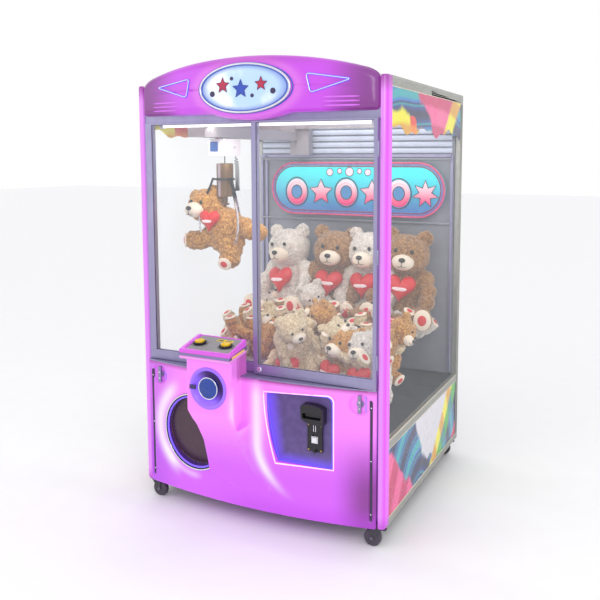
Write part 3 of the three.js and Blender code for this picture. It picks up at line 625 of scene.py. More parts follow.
def welded(nodes):
    mesh = bpy.data.meshes.new("welded")
    bm = bmesh.new()
    for node in nodes:
        bm.from_mesh(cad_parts[node].data)
    bmesh.ops.remove_doubles(bm, verts=bm.verts, dist=1e-5)
    bm.to_mesh(mesh)
    bm.free()
    return mesh


def moulded(name, nodes, body, material, voxel, rounds):
    """One rounded moulding with the shape of the nodes, which it stands for."""
    mesh = skin(welded(nodes), voxel, rounds)
    made = piece(name, mesh, body, [material], sharp=180)
    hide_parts(*nodes)
    return made


def rounded(points, radius, steps=6):
    """An outline with its corners rounded."""
    line = []
    for i, corner in enumerate(points):
        corner = Vector(corner)
        before, after = Vector(points[i - 1]), Vector(points[(i + 1) % len(points)])
        reach = min(radius, (before - corner).length / 2, (after - corner).length / 2)
        start = corner + (before - corner).normalized() * reach
        end = corner + (after - corner).normalized() * reach
        for k in range(steps + 1):
            t = k / steps
            line.append((1 - t) ** 2 * start + 2 * t * (1 - t) * corner + t * t * end)
    return line


def ring_points(x, z, radius, steps=48, start=0.0, end=2 * math.pi):
    return [(x + radius * math.cos(start + (end - start) * k / steps),
             z + radius * math.sin(start + (end - start) * k
                                                                                              / steps))
            for k in range(steps + 1)]


def screw(build, place, axis, radius=4.5, slot=0):
    """A pan-head screw with a shallow round dimple in its head."""
    profile = ((0, -0.2), (1, -0.2), (1, 0.25), (0.7, 0.5), (0.25, 0.55), (0.2, 0.3), (0, 0.3))
    build.turned([(radius * r, radius * h) for r, h in profile], place, axis, 20, slot)


# ---- cords ----
def hoist_rope():
    top = Vector((CLAW_X * MM, FRONT_Y + CLAW_Y * MM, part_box("winch_drum")[0].z + 18.5 * MM))
    bottom = Vector((top.x, top.y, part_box("claw_solenoid")[1].z + 0.6 * MM))
    line = [top.lerp(bottom, k / 24) for k in range(25)]
    build = Build()
    build.tube(line, 0.0024, 12)
    made = build.finish("hoist_rope", None, [woven("hoist_rope", "#1b191f")], sharp=180)
    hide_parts("hoist_cord")
    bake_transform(made)


def curly_cable():
    """The spring cable: wound close at the bottom, drawn out near the trolley."""
    centre_x, centre_y = CLAW_X + 46, CLAW_Y + 39
    top, bottom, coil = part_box("curly_cable")[1].z / MM + 2, 1466, 9.8
    turns, per_turn = 20, 16
    inward = Vector((CLAW_X - centre_x, CLAW_Y - centre_y)).normalized()
    leave = math.atan2(inward.y, inward.x) + math.pi / 2
    line = []
    count = turns * per_turn
    for k in range(count + 1):
        share = k / count
        down = 1 - (1 - share) ** 1.75
        height = top + (bottom - top) * down
        grown = min(1, share / 0.1)
        grown = grown * grown * (3 - 2 * grown)
        drift = max(0.0, 1 - down * 2.2) ** 1.5
        angle = leave - 2 * math.pi * turns * (1 - share)
        line.append(at(centre_x - 12 * drift + coil * grown * math.cos(angle),
                       centre_y + 6 * drift + coil * grown * math.sin(angle), height))
    end = line[-1]
    for k in range(1, 9):
        line.append(end + Vector((inward.x, inward.y, 0)) * (0.0024 * k))
    build = Build()
    build.tube(line, 0.0019, 8)
    made = build.finish("curly_lead", None, [woven("curly_lead", "#17151a")], sharp=180)
    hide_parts("curly_cable")
    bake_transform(made)
    glands = Build()
    glands.turned([(0, -2), (5.5, -2), (5.5, 3), (4, 6), (0, 6)],
                  line[0] + Vector((0, 0, 0.002)), (0, 0, 1), 20)
    glands.finish("lead_gland_top", "trolley", [black_plastic()])


def woven(name, colour):
    if name not in MATERIALS:
        recipe = Recipe(name, 0.5)
        recipe.set("Base Color", recipe.mottle(paint(colour), 0.15, 60))
        recipe.bump(recipe.noise(900, 2), 0.0003, 0.6)
        MATERIALS[name] = recipe.material
    return MATERIALS[name]


# ---- door ----
def door():
    glow = door_glow()
    moulded("front_moulding", ["front_panel", "door_column"], "door", glow, 0.0045, 7)
    violet = lamp_and_painted_glow("violet_edge", "#7a5cff", 0.5)
    rim = Build()
    end = math.acos((COLUMN_EDGE - 4 - CHUTE_X) / (CHUTE_RADIUS - 4))
    for radius, offset, size, slot in ((CHUTE_RADIUS - 3, -4, 3.4, 2), (CHUTE_RADIUS - 8, -3, 3.2, 1),
                                       (CHUTE_RADIUS - 14, 1, 4.5, 0)):
        line = [at(x, door_front(x) + offset, z) for x, z in ring_points(CHUTE_X, CHUTE_Z, radius, 60, end,
                                                                          2 * math.pi - end)]
        rim.tube(line, size * MM, 10, slot)
    rim.finish("chute_rim", "door", [violet, black_plastic(), chrome()], sharp=180)
    sleeve = Build()
    loops = []
    for x, z in ring_points(CHUTE_X, CHUTE_Z, 1, 60, end, 2 * math.pi - end):
        across, up = x - CHUTE_X, z - CHUTE_Z
        far, near = CHUTE_RADIUS - 3, CHUTE_RADIUS - 14
        loops.append([at(CHUTE_X + across * r, depth, CHUTE_Z + up * r) for r, depth in
                      ((far, door_front(CHUTE_X + across * far) + 1),
                       (near, door_front(CHUTE_X + across * near) + 3),
                       (near, -9.5), (near + 4, -9.5), (far, -12))])
    sleeve.rings(loops)
    sleeve_piece = sleeve.finish("chute_sleeve", "door", [plain("sleeve_plastic", "#5a3a8a", 0.3)])
    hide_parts("chute_bezel")
    lining = Build()
    for side in (-1, 1):
        x = side * 553.5
        lining.block(at(x - 8, -6, 119), at(x + 8, -3.4, 638))
        for z in (150, 380, 606):
            screw(lining, at(x, -6.2, z), (0, -1, 0), 3.2, 1)
    lining.finish("post_side_seals", "door", [plain("seal_rubber", "#3e3350", 0.6), chrome()],
                  bevel=0.001)
    trim_recess()
    seam = Build()
    seam.tube([at(x, door_front(x) - 1.2, DOOR_TOP - 1) for x in range(60, 560, 20)], 1.6 * MM, 8)
    seam.finish("door_top_bead", "door", [plain("bead_plastic", "#b04a9a", 0.3)], sharp=180)


def recess_outline(inset=0.0):
    """The coin plate's recess, as X and Z: a bowed left side and a rounded top right corner."""
    line = [(78 + inset + (133 - 78) * t ** 1.8, 629 - inset - (629 - 318 - 2 * inset) * t)
            for t in (k / 18 for k in range(19))]
    line += [(397 - inset, 324 + inset), (397 - inset, 600)]
    line += [(370 - inset + 27 * math.cos(a), 614 - inset + 27 * math.sin(a))
             for a in (math.pi / 2 * k / 8 for k in range(9))]
    return line


def trim_recess():
    lip = Build()
    outline = [Vector((x, z)) for x, z in recess_outline()]
    line = [at(p.x, door_front(p.x) + 1.5, p.y) for p in outline]
    lip.tube(line, 3.2 * MM, 8, closed=True)
    # Painted highlight: the lip round the coin recess glows pale pink.
    lip.finish("coin_recess_lip", "door", [lamp_and_painted_glow("recess_light", "#ffb8ff", 0.85)],
               sharp=180)
    strip = Build()
    inner = [at(x, -35.2, z) for x, z in recess_outline(6)]
    strip.tube(inner, 2.2 * MM, 8, closed=True)
    strip.finish("coin_recess_light", "door", [lamp_and_painted_glow("violet_light", "#5d4cff", 1.0)],
                 sharp=180)


def coin_area():
    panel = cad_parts["coin_plate"]
    recipe = Recipe("coin_plate_paint", 0.45)
    x, _, z = recipe.axes()
    base = recipe.mix(recipe.fade(recipe.noise(30, 3), 0.3, 0.7), paint("#4c3d70"), paint("#57477c"))
    # Painted light: the plate brighter violet along the recess's left and bottom edges, and the whole plate
    # glows faintly.
    glow = recipe.math("MAXIMUM", recipe.fade(recipe.minus(x, recipe.times(
                       recipe.minus(629, z), 0.12)), 150, 85), recipe.fade(z, 380, 322))
    colour = recipe.mix(recipe.times(glow, 0.85), base, paint("#6a4fe0"))
    recipe.set("Base Color", colour)
    recipe.glow(colour, 0.22)
    recipe.bump(recipe.noise(900, 2), 0.0002, 0.5)
    assign(panel, recipe.material)
    black = black_plastic()
    moulded("reader_housing", ["reader_hood"], "door", black, 0.0022, 5)
    brass = brushed("brass", "#c9a85c", 0.3, (1, 1, 1))
    trim = Build()
    for x, z in ((285, 401), (343, 401), (285, 509), (343, 509)):
        screw(trim, at(x, -44.2, z), (0, -1, 0), 3.6, 0)
    trim.block(at(308, -46.5, 482), at(311, -44.2, 510), 1)
    trim.block(at(317, -46.5, 482), at(320, -44.2, 510), 1)
    trim.block(at(299, -46, 431), at(302, -44.2, 461), 1)
    trim.block(at(326, -46, 431), at(329, -44.2, 461), 1)
    trim.block(at(302, -46, 458), at(326, -44.2, 461), 1)
    trim.block(at(302, -46, 431), at(326, -44.2, 434), 1)
    trim.finish("coin_mech_trim", "door", [brass, chrome()], bevel=0.0005)
    lens = Build()
    lens.block(at(278, -62, 547), at(350, -56, 565))
    lens.finish("reader_lens", "door", [plain("reader_lens", "#0d0b12", 0.08)], bevel=0.001)


def dish():
    """The round bowl on the column, with its disc in the middle."""
    bowl = Build()
    mouth = [(0, -14), (50, -14), (66, -8), (76, 2), (82, 7), (86, 7), (90, 3), (90, -0.5), (86, -1),
             (80, -3),
             (76, -20), (0, -20)]
    base = at(DISH_X, DISH_FRONT, DISH_Z)
    bowl.turned(mouth, base, (0, -1, 0), 72, 0)
    made = bowl.finish("dish_bowl", "door", [dish_shaded_glow()], sharp=60)
    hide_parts("column_dish")
    disc = Build()
    face = [(0, 2), (42, 2), (43.5, 1), (44, -15), (0, -15)]
    disc.turned(face, base, (0, -1, 0), 64, 0)
    ring = [at(DISH_X + 45.5 * math.cos(a), DISH_FRONT - 1.5, DISH_Z + 45.5 * math.sin(a))
            for a in around(64)]
    disc.tube(ring, 2.6 * MM, 10, 1, closed=True)
    disc.block(at(DISH_X - 88, DISH_FRONT - 9, DISH_Z - 9), at(DISH_X - 58, DISH_FRONT - 3, DISH_Z + 9), 2)
    blue = plain("disc_blue", "#1f3f94", 0.35)
    disc.finish("dish_disc", "door", [blue, chrome(), plain("dark_tab", "#3c2f63", 0.4)],
                bevel=0.0006)


def dish_shaded_glow():
    recipe = Recipe("dish_plastic", 0.3)
    x, _, z = recipe.axes()
    out = recipe.reach(recipe.minus(x, DISH_X), recipe.minus(z, DISH_Z))
    # Painted shade: the bowl darker towards its upper right. The rim stays lighter, and the whole dish glows
    # faintly as painted light.
    shade = recipe.plus(recipe.minus(x, DISH_X), recipe.minus(z, DISH_Z))
    bowl = recipe.mix(recipe.fade(shade, -60, 60), paint("#8a5cf2"), paint("#42305e"))
    colour = recipe.mix(recipe.fade(out, 70, 79), bowl, paint("#8f62ff"))
    recipe.set("Base Color", colour)
    recipe.glow(colour, 0.35)
    recipe.bump(recipe.noise(400, 2), 0.0001, 0.3)
    return recipe.material


def latches():
    steel = brushed("latch_steel", "#9a93b4", 0.35, (1, 1, 0.1))
    key = lamp_and_painted_glow("violet_bar", "#a07cff", 0.4)
    for side, node, body in ((-1, "latch_left", "latch_l"), (1, "latch_right", "latch_r")):
        assign(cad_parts[node], steel)
        trim = Build()
        x = side * 505
        trim.turned([(0, -1), (5.2, -1), (5.2, 1.5), (4.6, 2.2), (0, 2.2)],
                    at(x, -20, 628), (0, -1, 0), 24, 0)
        trim.block(at(x - 0.8, -22.8, 624), at(x + 0.8, -22, 632), 1)
        screw(trim, at(x, -20.2, 600), (0, -1, 0), 3.2, 0)
        trim.finish(f"{node}_key", body, [chrome(), black_plastic()], bevel=0.0003)
        bar = Build()
        line = [at(x + 24, -5, 618 - 34 + 68 * k / 12) for k in range(13)]
        bar.tube(line, 3.4 * MM, 10)
        bar.finish(f"{node}_bar", "door", [key], sharp=180)


# ---- console ----
def console_height(y):
    return 830 + (y + 256) * math.tan(CONSOLE_TILT)


def console():
    moulded("console_surround", ["console_rim"], "door", console_glow(), 0.0032, 6)
    satin_alloy = brushed("band_aluminium", "#8f86b4", 0.35, (0.1, 0.1, 1))
    band = Build()
    corners = [(-252, -62), (-217.5, -257.2), (34.2, -257.2), (-3, -62)]
    line = []
    for (xa, ya), (xb, yb) in zip(corners, corners[1:]):
        line += [(xa + (xb - xa) * k / 8, ya + (yb - ya) * k / 8) for k in range(9)]
    line = [line[0]] + [b for a, b in zip(line, line[1:]) if (Vector(a) - Vector(b)).length > 1]
    middle = Vector((-110, -160))
    loops = []
    for x, y in line:
        out = (Vector((x, y)) - middle).normalized() * 1.2
        low, high = 803, 815 + (y + 256) * 0.02
        loops.append([at(x, y, low), at(x + out.x, y + out.y, low + 0.6),
                      at(x + out.x, y + out.y, high - 0.6),
                      at(x, y, high), at(x - 2 * out.x, y - 2 * out.y, high),
                      at(x - 2 * out.x, y - 2 * out.y, low)])
    band.rings(loops)
    band.finish("console_band", "door", [satin_alloy])
    # Painted reflection: the amber reflector strip is made to glow.
    amber = lamp_and_painted_glow("amber_reflector", "#e8b060", 0.35)
    strip = Build()
    start, end = Vector((29, -232)), Vector((2, -92))
    side = Vector((0.984, 0.18)) * 2.6
    loops = []
    for k in range(9):
        p = start.lerp(end, k / 8)
        loops.append([at(p.x + side.x * s, p.y + side.y * s, z) for s,
                      z in ((0.3, 804), (1, 804.6), (1, 813.4),
                                                                            (0.3, 814))])
    strip.rings(loops, 0)
    for k in (0.04, 0.96):
        p = start.lerp(end, k)
        screw(strip, at(p.x + side.x, p.y + side.y, 809), (1, 0.18, 0), 3, 1)
    strip.finish("console_reflector", "door", [amber, chrome()])
    control_details()


def on_plate(x, y, lift):
    """A point that far above the sloping control plate, in millimetres."""
    return at(x, y - lift * math.sin(CONSOLE_TILT), console_height(y) - 6 + lift * math.cos(CONSOLE_TILT))


def control_details():
    up = Vector((0, -math.sin(CONSOLE_TILT), math.cos(CONSOLE_TILT)))
    black = black_plastic()
    assign(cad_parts["control_plate"], plain("plate_grey", "#8f8d92", 0.5))
    yellow = plain("button_yellow", "#e6b90c", 0.3)
    for name, body, x, y in (("button_left", "button_l", -178, -157),
                             ("button_right", "button_r", -45, -160)):
        cap = Build()
        profile = [(0, -1), (8.6, -1), (8.6, 7.5), (20.6, 7.5), (21, 9), (21, 14.2), (20, 16), (17, 16.9),
                   (14, 16.4),
                   (0, 15.6)]
        cap.turned(profile, on_plate(x, y, 0), up, 40)
        made = cap.finish(f"{name}_cap", body, [yellow], sharp=35)
        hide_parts(name)
        collar = Build()
        for radius, lift, size, slot in ((26.5, 6.2, 2.6, 0), (23.8, 8.4, 1.6, 0), (36, 0.3, 0.7, 1),
                                         (31, 0.3, 0.7, 1)):
            line = [on_plate(x + radius * math.cos(a), y + radius * math.sin(a), lift)
                    for a in around(48)]
            collar.tube(line, size * MM, 8, slot, closed=True)
        ring = [(23.2, 0.2), (27.6, 0.2), (27.6, 7), (25.4, 8.2), (23.2, 8.6), (23.2, 6), (23.2, 0.2)]
        collar.turned(ring, on_plate(x, y, 0), up, 40, 0)
        collar.finish(f"{name}_collar", "door", [black, plain("engraving", "#4e4b58", 0.5)],
                      sharp=50)
    label = Build()
    slope = Matrix.Rotation(CONSOLE_TILT, 3, "X")
    for x0, x1, y0, y1, slot in ((-128, -88, -108, -84, 0), (-88, -48, -112, -88, 0),
                                 (-122, -96, -102, -92, 1),
                                 (-84, -56, -106, -96, 1)):
        centre = on_plate((x0 + x1) / 2, (y0 + y1) / 2, 0.35 + 0.3 * slot)
        half = Vector((x1 - x0, y1 - y0, 0.5)) * MM / 2
        label.block(centre - half, centre + half, slot, slope)
    label.finish("console_label", "door", [plain("label_yellow", "#e8c81a", 0.35), black])
    screws = Build()
    for x, y in ((-190, -226), (6, -226), (-222, -74), (-32, -74)):
        screw(screws, on_plate(x, y, 0.2), up, 3, 0)
    screws.finish("plate_screws", "door", [chrome()])


# ---- cabinet ----
def marquee_edge(steps=10):
    """The marquee's outline as X and Z, counter-clockwise from the lower left."""
    def bend(a, b, c):
        a, b, c = Vector(a), Vector(b), Vector(c)
        return [(1 - t) ** 2 * a + 2 * t * (1 - t) * b + t * t * c for t in (k / steps for k in range(steps))]

    half, low, high, crown = 580, 1812, 1948, 2048
    line = [Vector((-half + 25 + (half - 215) * k / 6, low)) for k in range(6)]
    line += bend((-190, low), (0, low - 56), (190, low))
    line += [Vector((190 + (half - 215) * k / 6, low)) for k in range(6)]
    line += bend((half - 25, low), (half, low), (half, low + 30))
    line += [Vector((half, low + 30 + (high - low - 50) * k / 4)) for k in range(4)]
    line += bend((half, high - 20), (half - 4, high + 16), (half - 60, high + 34))
    line += bend((half - 60, high + 34), (300, crown - 2), (0, crown))
    line += bend((0, crown), (-300, crown - 2), (-half + 60, high + 34))
    line += bend((-half + 60, high + 34), (-half + 4, high + 16), (-half, high - 20))
    line += [Vector((-half, high - 20 - (high - low - 50) * k / 4)) for k in range(4)]
    line += bend((-half, low + 30), (-half, low), (-half + 25, low))
    return line


def marquee():
    edge = marquee_edge()
    roundness = 34
    spine = [Vector((max(-500, min(500, p.x)), 1905 + 12 * (1 - (p.x / 580) ** 2))) for p in edge]
    loops = [[at(p.x, 11.4, p.y) for p in edge]]
    shares = [0, 0.02, 0.05, 0.09, 0.14, 0.2, 0.28, 0.38, 0.5, 0.62, 0.74, 0.86, 0.95]
    for share in shares:
        loop = []
        for p, s in zip(edge, spine):
            q = p.lerp(s, share)
            depth = (p - s).length * share
            sag = roundness - math.sqrt(max(0.0, roundness ** 2 - (roundness - min(depth, roundness)) ** 2))
            loop.append(at(q.x, door_front(q.x) + sag, q.y))
        loops.append(loop)
    build = Build()
    build.rings(loops)
    made = build.finish("marquee_moulding", "cabinet", [marquee_glow()], sharp=70)
    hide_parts("marquee_shell")
    marquee_badge()
    marquee_trims()


def badge_oval(share=1):
    return [(BADGE_HALF_WIDTH * share * math.cos(a), BADGE_Z + BADGE_HALF_HEIGHT * share * math.sin(a))
            for a in around(72)]


def star_points(x, z, radius, waist, points=5):
    """A star's outline as X and Z, with its first point upwards."""
    return [(x + r * math.sin(math.pi * k / points), z + r * math.cos(math.pi * k / points))
            for k, r in enumerate((radius, waist) * points)]


def marquee_badge():
    badge = Build()
    loops = [[at(x * s, door_front(x * s) + d, BADGE_Z + (z - BADGE_Z) * s) for x, z in badge_oval()]
             for s, d in ((1, -0.5), (1, -8), (0.97, -11), (0.7, -11.6), (0.35, -11.8), (0.05, -11.9))]
    badge.rings(loops)
    made = badge.finish("marquee_badge", "cabinet", [badge_print()], sharp=60)
    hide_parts("marquee_face")
    rims = Build()
    for share, lift, size, slot in ((1.0, -9, 5.5, 0), (0.955, -12, 2.4, 1), (1.05, -3, 3.0, 1)):
        line = [at(x, door_front(x) + lift, z) for x, z in badge_oval(share)]
        rims.tube(line, size * MM, 10, slot, closed=True)
    rims.finish("marquee_rims", "cabinet", [chrome(), plain("rim_blue", "#3f5cc0", 0.3)], sharp=180)
    emblem = Build()
    front = -14
    for x, z, radius, slot in ((-96, 1925, 34, 0), (-8, 1908, 40, 1), (88, 1926, 30, 0)):
        star = star_points(x, z, radius, radius * 0.45)
        emblem.slab(star, door_front(x) + front, door_front(x) - 11, slot)
        emblem.tube([at(a, door_front(x) + front, b) for a, b in star], 1.3 * MM, 6, 2, closed=True)
    for x, z, radius in ((-150, 1892, 12), (142, 1896, 12), (46, 1880, 8), (-52, 1952, 8)):
        emblem.slab(ring_points(x, z, radius, 20)[:-1], door_front(x) + front, door_front(x) - 11, 2)
    emblem.finish("marquee_emblem", "cabinet", [plain("star_red", "#b22a4c", 0.3),
                                                plain("star_blue", "#2f4fb8", 0.3),
                                                plain("star_outline", "#3a3152", 0.3)],
                  sharp=30)


def marquee_trims():
    trims = Build()
    ribs = Build()
    for side in (-1, 1):
        corners = [(side * x, z) for x, z in ((282, 1962), (468, 1934), (300, 1884))]
        for radius, lift, size, slot in ((16, -1.0, 4.2, 1), (16, -3.4, 2.4, 0)):
            line = [at(p.x, door_front(p.x) + lift, p.y) for p in rounded(corners, radius)]
            trims.tube(line, size * MM, 8, slot, closed=True)
        for k in range(3):
            z = 1832 + 17 * k
            line = [at(side * (352 + 150 * t / 12), door_front(352 + 150 * t / 12) + 1.2,
                       z) for t in range(13)]
            ribs.tube(line, [(1.5 + 2.2 * min(1, t / 2, (12 - t) / 2)) * MM for t in range(13)], 8)
    trims.finish("marquee_triangles", "cabinet", [chrome(), lamp_and_painted_glow("blue_edge", "#4a5cff", 0.5)],
                 sharp=180)
    ribs.finish("marquee_ribs", "cabinet", [lamp_and_painted_glow("rib_glow", "#b65cc8", 0.45)],
                sharp=180)


def light_posts():
    for side, label in ((-1, "left"), (1, "right")):
        section = [(580, 54.6), (580, 4), (581.5, 1.2), (585, 0), (588, 0)]
        section += [(590 + 20 * math.sin(a), 20 - 20 * math.cos(a)) for a in around(32)[:9]]
        section += [(610, 54.6)]
        if side < 0:
            section = section[::-1]
        middle = Vector((595, 27))
        loops = []
        for z, share in ((88, 0.8), (91, 0.96), (97, 1), (420, 1), (900, 1), (1400, 1), (1941, 1),
                         (1947, 0.96),
                         (1950, 0.8)):
            loops.append([at(side * (middle.x + (x - middle.x) * share), middle.y + (y - middle.y) * share, z)
                          for x, y in section])
        build = Build()
        build.rings(loops)
        made = build.finish(f"light_tube_{label}", "cabinet", [post_glow(label)], sharp=50)
        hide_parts(f"light_post_{label}")


def side_rails():
    """Thin ribs along the side extrusions, and the cream bead where the print meets them."""
    rail = rail_alloy()
    cream = plain("cream_bead", "#efe6cf", 0.4)
    for side, label in ((-1, "left"), (1, "right")):
        ribs = Build()
        x = side * 610.2
        for z in (96, 103, 110, 426, 434, 442, 1917, 1924, 1931, 1938):
            ribs.tube([at(x, y, z) for y in (58, 400, 750, 1132)], 1.3 * MM, 8, 0)
        for y in (1106, 1114, 1122, 1130):
            ribs.tube([at(x, y, z) for z in (120, 700, 1300, 1900)], 1.3 * MM, 8, 0)
        for z, span in ((119.5, (58, 1098)), (418.5, (58, 1098)), (455, (58, 1098)), (1908, (58, 1098))):
            ribs.tube([at(side * 608.4, y, z) for y in (span[0], 600, span[1])], 1.7 * MM, 8, 1)
        ribs.finish(f"side_rail_ribs_{label}", "cabinet", [rail, cream], sharp=180)


def side_prints():
    upper = printed_side("upper_print", True)
    for side, label in ((-1, "left"), (1, "right")):
        edge_y = [57 + (1098 - 57) * k / 60 for k in range(61)]
        loops = []
        for y in edge_y:
            low = 1740 + 16 * math.sin(y / 62) + 9 * math.sin(y / 23 + 1)
            loops.append([at(side * 607.3, y, low), at(side * 607.3, y, 1909), at(side * 608.1, y, 1909),
                          at(side * 608.1, y, low)])
        build = Build()
        build.rings(loops)
        build.finish(f"upper_print_{label}", "cabinet", [upper], sharp=50)


def back_wall_slats():
    """The louvred upper part of the rear wall and the plain frame round the sign."""
    pale = plain("slat_paint", "#cdd6ea", 0.35)
    slats = Build()
    for z in range(1650, 1925, 34):
        profile = [(1087, z), (1081, z + 2), (1078, z + 9), (1079, z + 22), (1085, z + 27), (1087.5, z + 27)]
        slats.rings([[at(x, y, h) for y, h in profile] for x in (-572, -200, 200, 572)])
    slats.finish("rear_slats", "cabinet", [pale], bevel=0.0008, sharp=30)
    frame_bars = Build()
    for x in (-578, -548, 572):
        frame_bars.block(at(x - 7, 1076, 470), at(x + 7, 1087, 1640))
    frame_bars.block(at(-572, 1076, 1628), at(572, 1088, 1644))
    frame_bars.finish("rear_frame_bars", "cabinet", [aluminium()], bevel=0.001)


def sign_details():
    centre, low, high, reach = 26, 1302, 1602, 522
    radius = (high - low) / 2

    def track(inset):
        r = radius - inset
        right = [(centre + reach - radius + r * math.sin(a), low + radius - r * math.cos(a))
                 for a in (math.pi * k / 24 for k in range(25))]
        left = [(centre - reach + radius - r * math.sin(a), low + radius + r * math.cos(a))
                for a in (math.pi * k / 24 for k in range(25))]
        return right + left

    borders = Build()
    for inset, size, slot in ((5, 5.5, 0), (15, 3.6, 1), (24, 3.2, 2)):
        borders.tube([at(x, 1047, z) for x, z in track(inset)], size * MM, 8, slot, closed=True)
    borders.finish("sign_borders", "cabinet", [plain("sign_pink", "#e04a80", 0.3),
                                               plain("sign_violet", "#8a70c0", 0.3),
                                               plain("sign_maroon", "#8c2a58", 0.3)], sharp=180)
    shapes = Build()
    spots = [(-330, "ring"), (-175, "star"), (-20, "ring"), (135, "star"), (290, "ring"), (440, "moon")]
    for x, kind in spots:
        z = 1432
        if kind == "ring":
            for r, size, slot in ((52, 17, 0), (71, 3, 1), (33, 3, 1)):
                line = [at(x + r * math.cos(a), 1046, z + 1.15 * r * math.sin(a))
                        for a in around(40)]
                shapes.tube(line, size * MM * 0.35 if slot == 0 else size * MM, 8, slot, closed=True)
            shapes.slab([(x + 64 * math.cos(a), z + 74 * math.sin(a)) for a in around(40)], 1045, 1047.5, 0)
            shapes.slab([(x + 30 * math.cos(a), z + 36 * math.sin(a)) for a in around(30)], 1043, 1046, 2)
        else:
            star = star_points(x, z, 74, 36, 5 if kind == "star" else 7)
            shapes.slab(star, 1044, 1047.5, 0)
            shapes.tube([at(a, 1044, b) for a, b in star], 3 * MM, 8, 1, closed=True)
    for x, z, r in ((-120, 1545, 20), (-60, 1552, 14), (0, 1548, 24), (60, 1552, 14), (110, 1546, 18)):
        shapes.slab(ring_points(x, z, r, 24)[:-1], 1044, 1047.5, 0)
        shapes.tube([at(a, 1044, b) for a, b in ring_points(x, z, r, 24)[:-1]], 1.8 * MM, 6, 1, closed=True)
    pink = Recipe("sign_letter_pink", 0.3)
    _, _, z = pink.axes()
    colour = pink.mix(pink.fade(z, 1370, 1500), paint("#f0307c"), paint("#ffe0ea"))
    pink.set("Base Color", colour)
    pink.glow(colour, 0.12)
    shapes.finish("sign_shapes", "cabinet", [pink.material, plain("sign_dark", "#34304a", 0.35),
                                             plain("sign_blue", "#3f8cc8", 0.35)], sharp=30)


def lamps():
    """White tubes behind the header and along the rear top, in their holders."""
    tube = lamp_and_painted_glow("tube_light", "#ffffff", 1.3)
    holder = plain("white_plastic", "#e9e8ee", 0.45)
    for label, y, z in (("front", 74, 1770), ("rear", 1040, 1905)):
        build = Build()
        build.tube([at(x, y, z) for x in (-520, -250, 0, 250, 520)], 7 * MM, 14, 0)
        for x in (-526, 526):
            build.block(at(x - 8, y - 11, z - 11), at(x + 8, y + 11, z + 11), 1)
        build.finish(f"lamp_{label}", "cabinet", [tube, holder], bevel=0.001)


def windows():
    alloy = aluminium()
    seals = Build()
    rubber = plain("seal_rubber", "#3e3350", 0.6)
    def seal(target, x0, x1, z0, z1, y):
        corners = [at(x0, y, z0), at(x1, y, z0), at(x1, y, z1), at(x0, y, z1)]
        for a, b in zip(corners, corners[1:] + corners[:1]):
            target.tube([a, a.lerp(b, 0.5), b], 1.5 * MM, 6)
    seal(seals, -541, -12.4, 728.2, 1773.2, 14)
    seals.finish("window_seal_left", "cabinet", [rubber])
    right = Build()
    seal(right, 22, 559, 728.2, 1773.2, -7)
    right.finish("window_seal_right", "window", [rubber])
    ribs = Build()
    for z in (690, 698, 719):
        ribs.tube([at(x, -14.2, z) for x in (56, 200, 400, 572)], 0.9 * MM, 6)
    ribs.tube([at(574, -14, z) for z in (690, 1200, 1778)], 0.9 * MM, 6)
    ribs.finish("window_ribs_right", "window", [alloy])
    left = Build()
    for z in (690, 719):
        left.tube([at(x, 7.8, z) for x in (-575, -400, -200, -4)], 0.9 * MM, 6)
    left.finish("window_ribs_left", "cabinet", [alloy])
    lock = Build()
    base = at(32, -18, 707)
    lock.turned([(0, -1), (12.4, -1), (12.4, 1.4), (11, 2.6), (8, 2.8), (7.6, 2), (0, 2)], base, (0, -1, 0),
                36)
    lock.block(at(31, -20.9, 702), at(33, -20, 712), 1)
    lock.finish("window_lock_face", "lock", [chrome(), black_plastic()], sharp=40)
    hinges = Build()
    for z in (800, 1230, 1660):
        hinges.turned([(0, -30), (4, -30), (4.4, -29), (4.4, 29), (4, 30), (0, 30)], at(577, -13, z),
                      (0, 0, 1), 16)
    hinges.finish("window_hinges", "cabinet", [alloy])


def casters():
    tyre = plain("wheel_rubber", "#4c4552", 0.7)
    steel = brushed("axle_steel", "#77727c", 0.35, (1, 1, 1))
    for corner in ("front_left", "front_right", "rear_left", "rear_right"):
        low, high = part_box(f"caster_wheel_{corner}")
        centre = (low + high) / 2
        half = (high.y - low.y) / MM / 2
        radius = (high.z - low.z) / MM / 2
        build = Build()
        profile = [(5.6, -half), (24, -half), (25, -half + 1), (27, -half + 1), (28, -half), (34, -half),
                   (36.4, -half + 2), (radius, -half + 5), (radius, half - 5), (36.4, half - 2), (34, half),
                   (28, half), (27, half - 1), (25, half - 1), (24, half), (5.6, half), (5.6, -half)]
        build.turned(profile, centre, (0, 1, 0), 48)
        made = build.finish(f"caster_tyre_{corner}", f"wheel_{corner}", [tyre], sharp=60)
        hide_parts(f"caster_wheel_{corner}")
        bolts = Build()
        for side in (-1, 1):
            face = centre + Vector((0, side * (half + 6.2) * MM, 0))
            bolts.turned([(0, -1), (8, -1), (8, 2), (6.8, 3), (0, 3)], face, (0, side, 0), 6)
        bolts.finish(f"caster_bolts_{corner}", f"caster_{corner}", [steel], sharp=30)


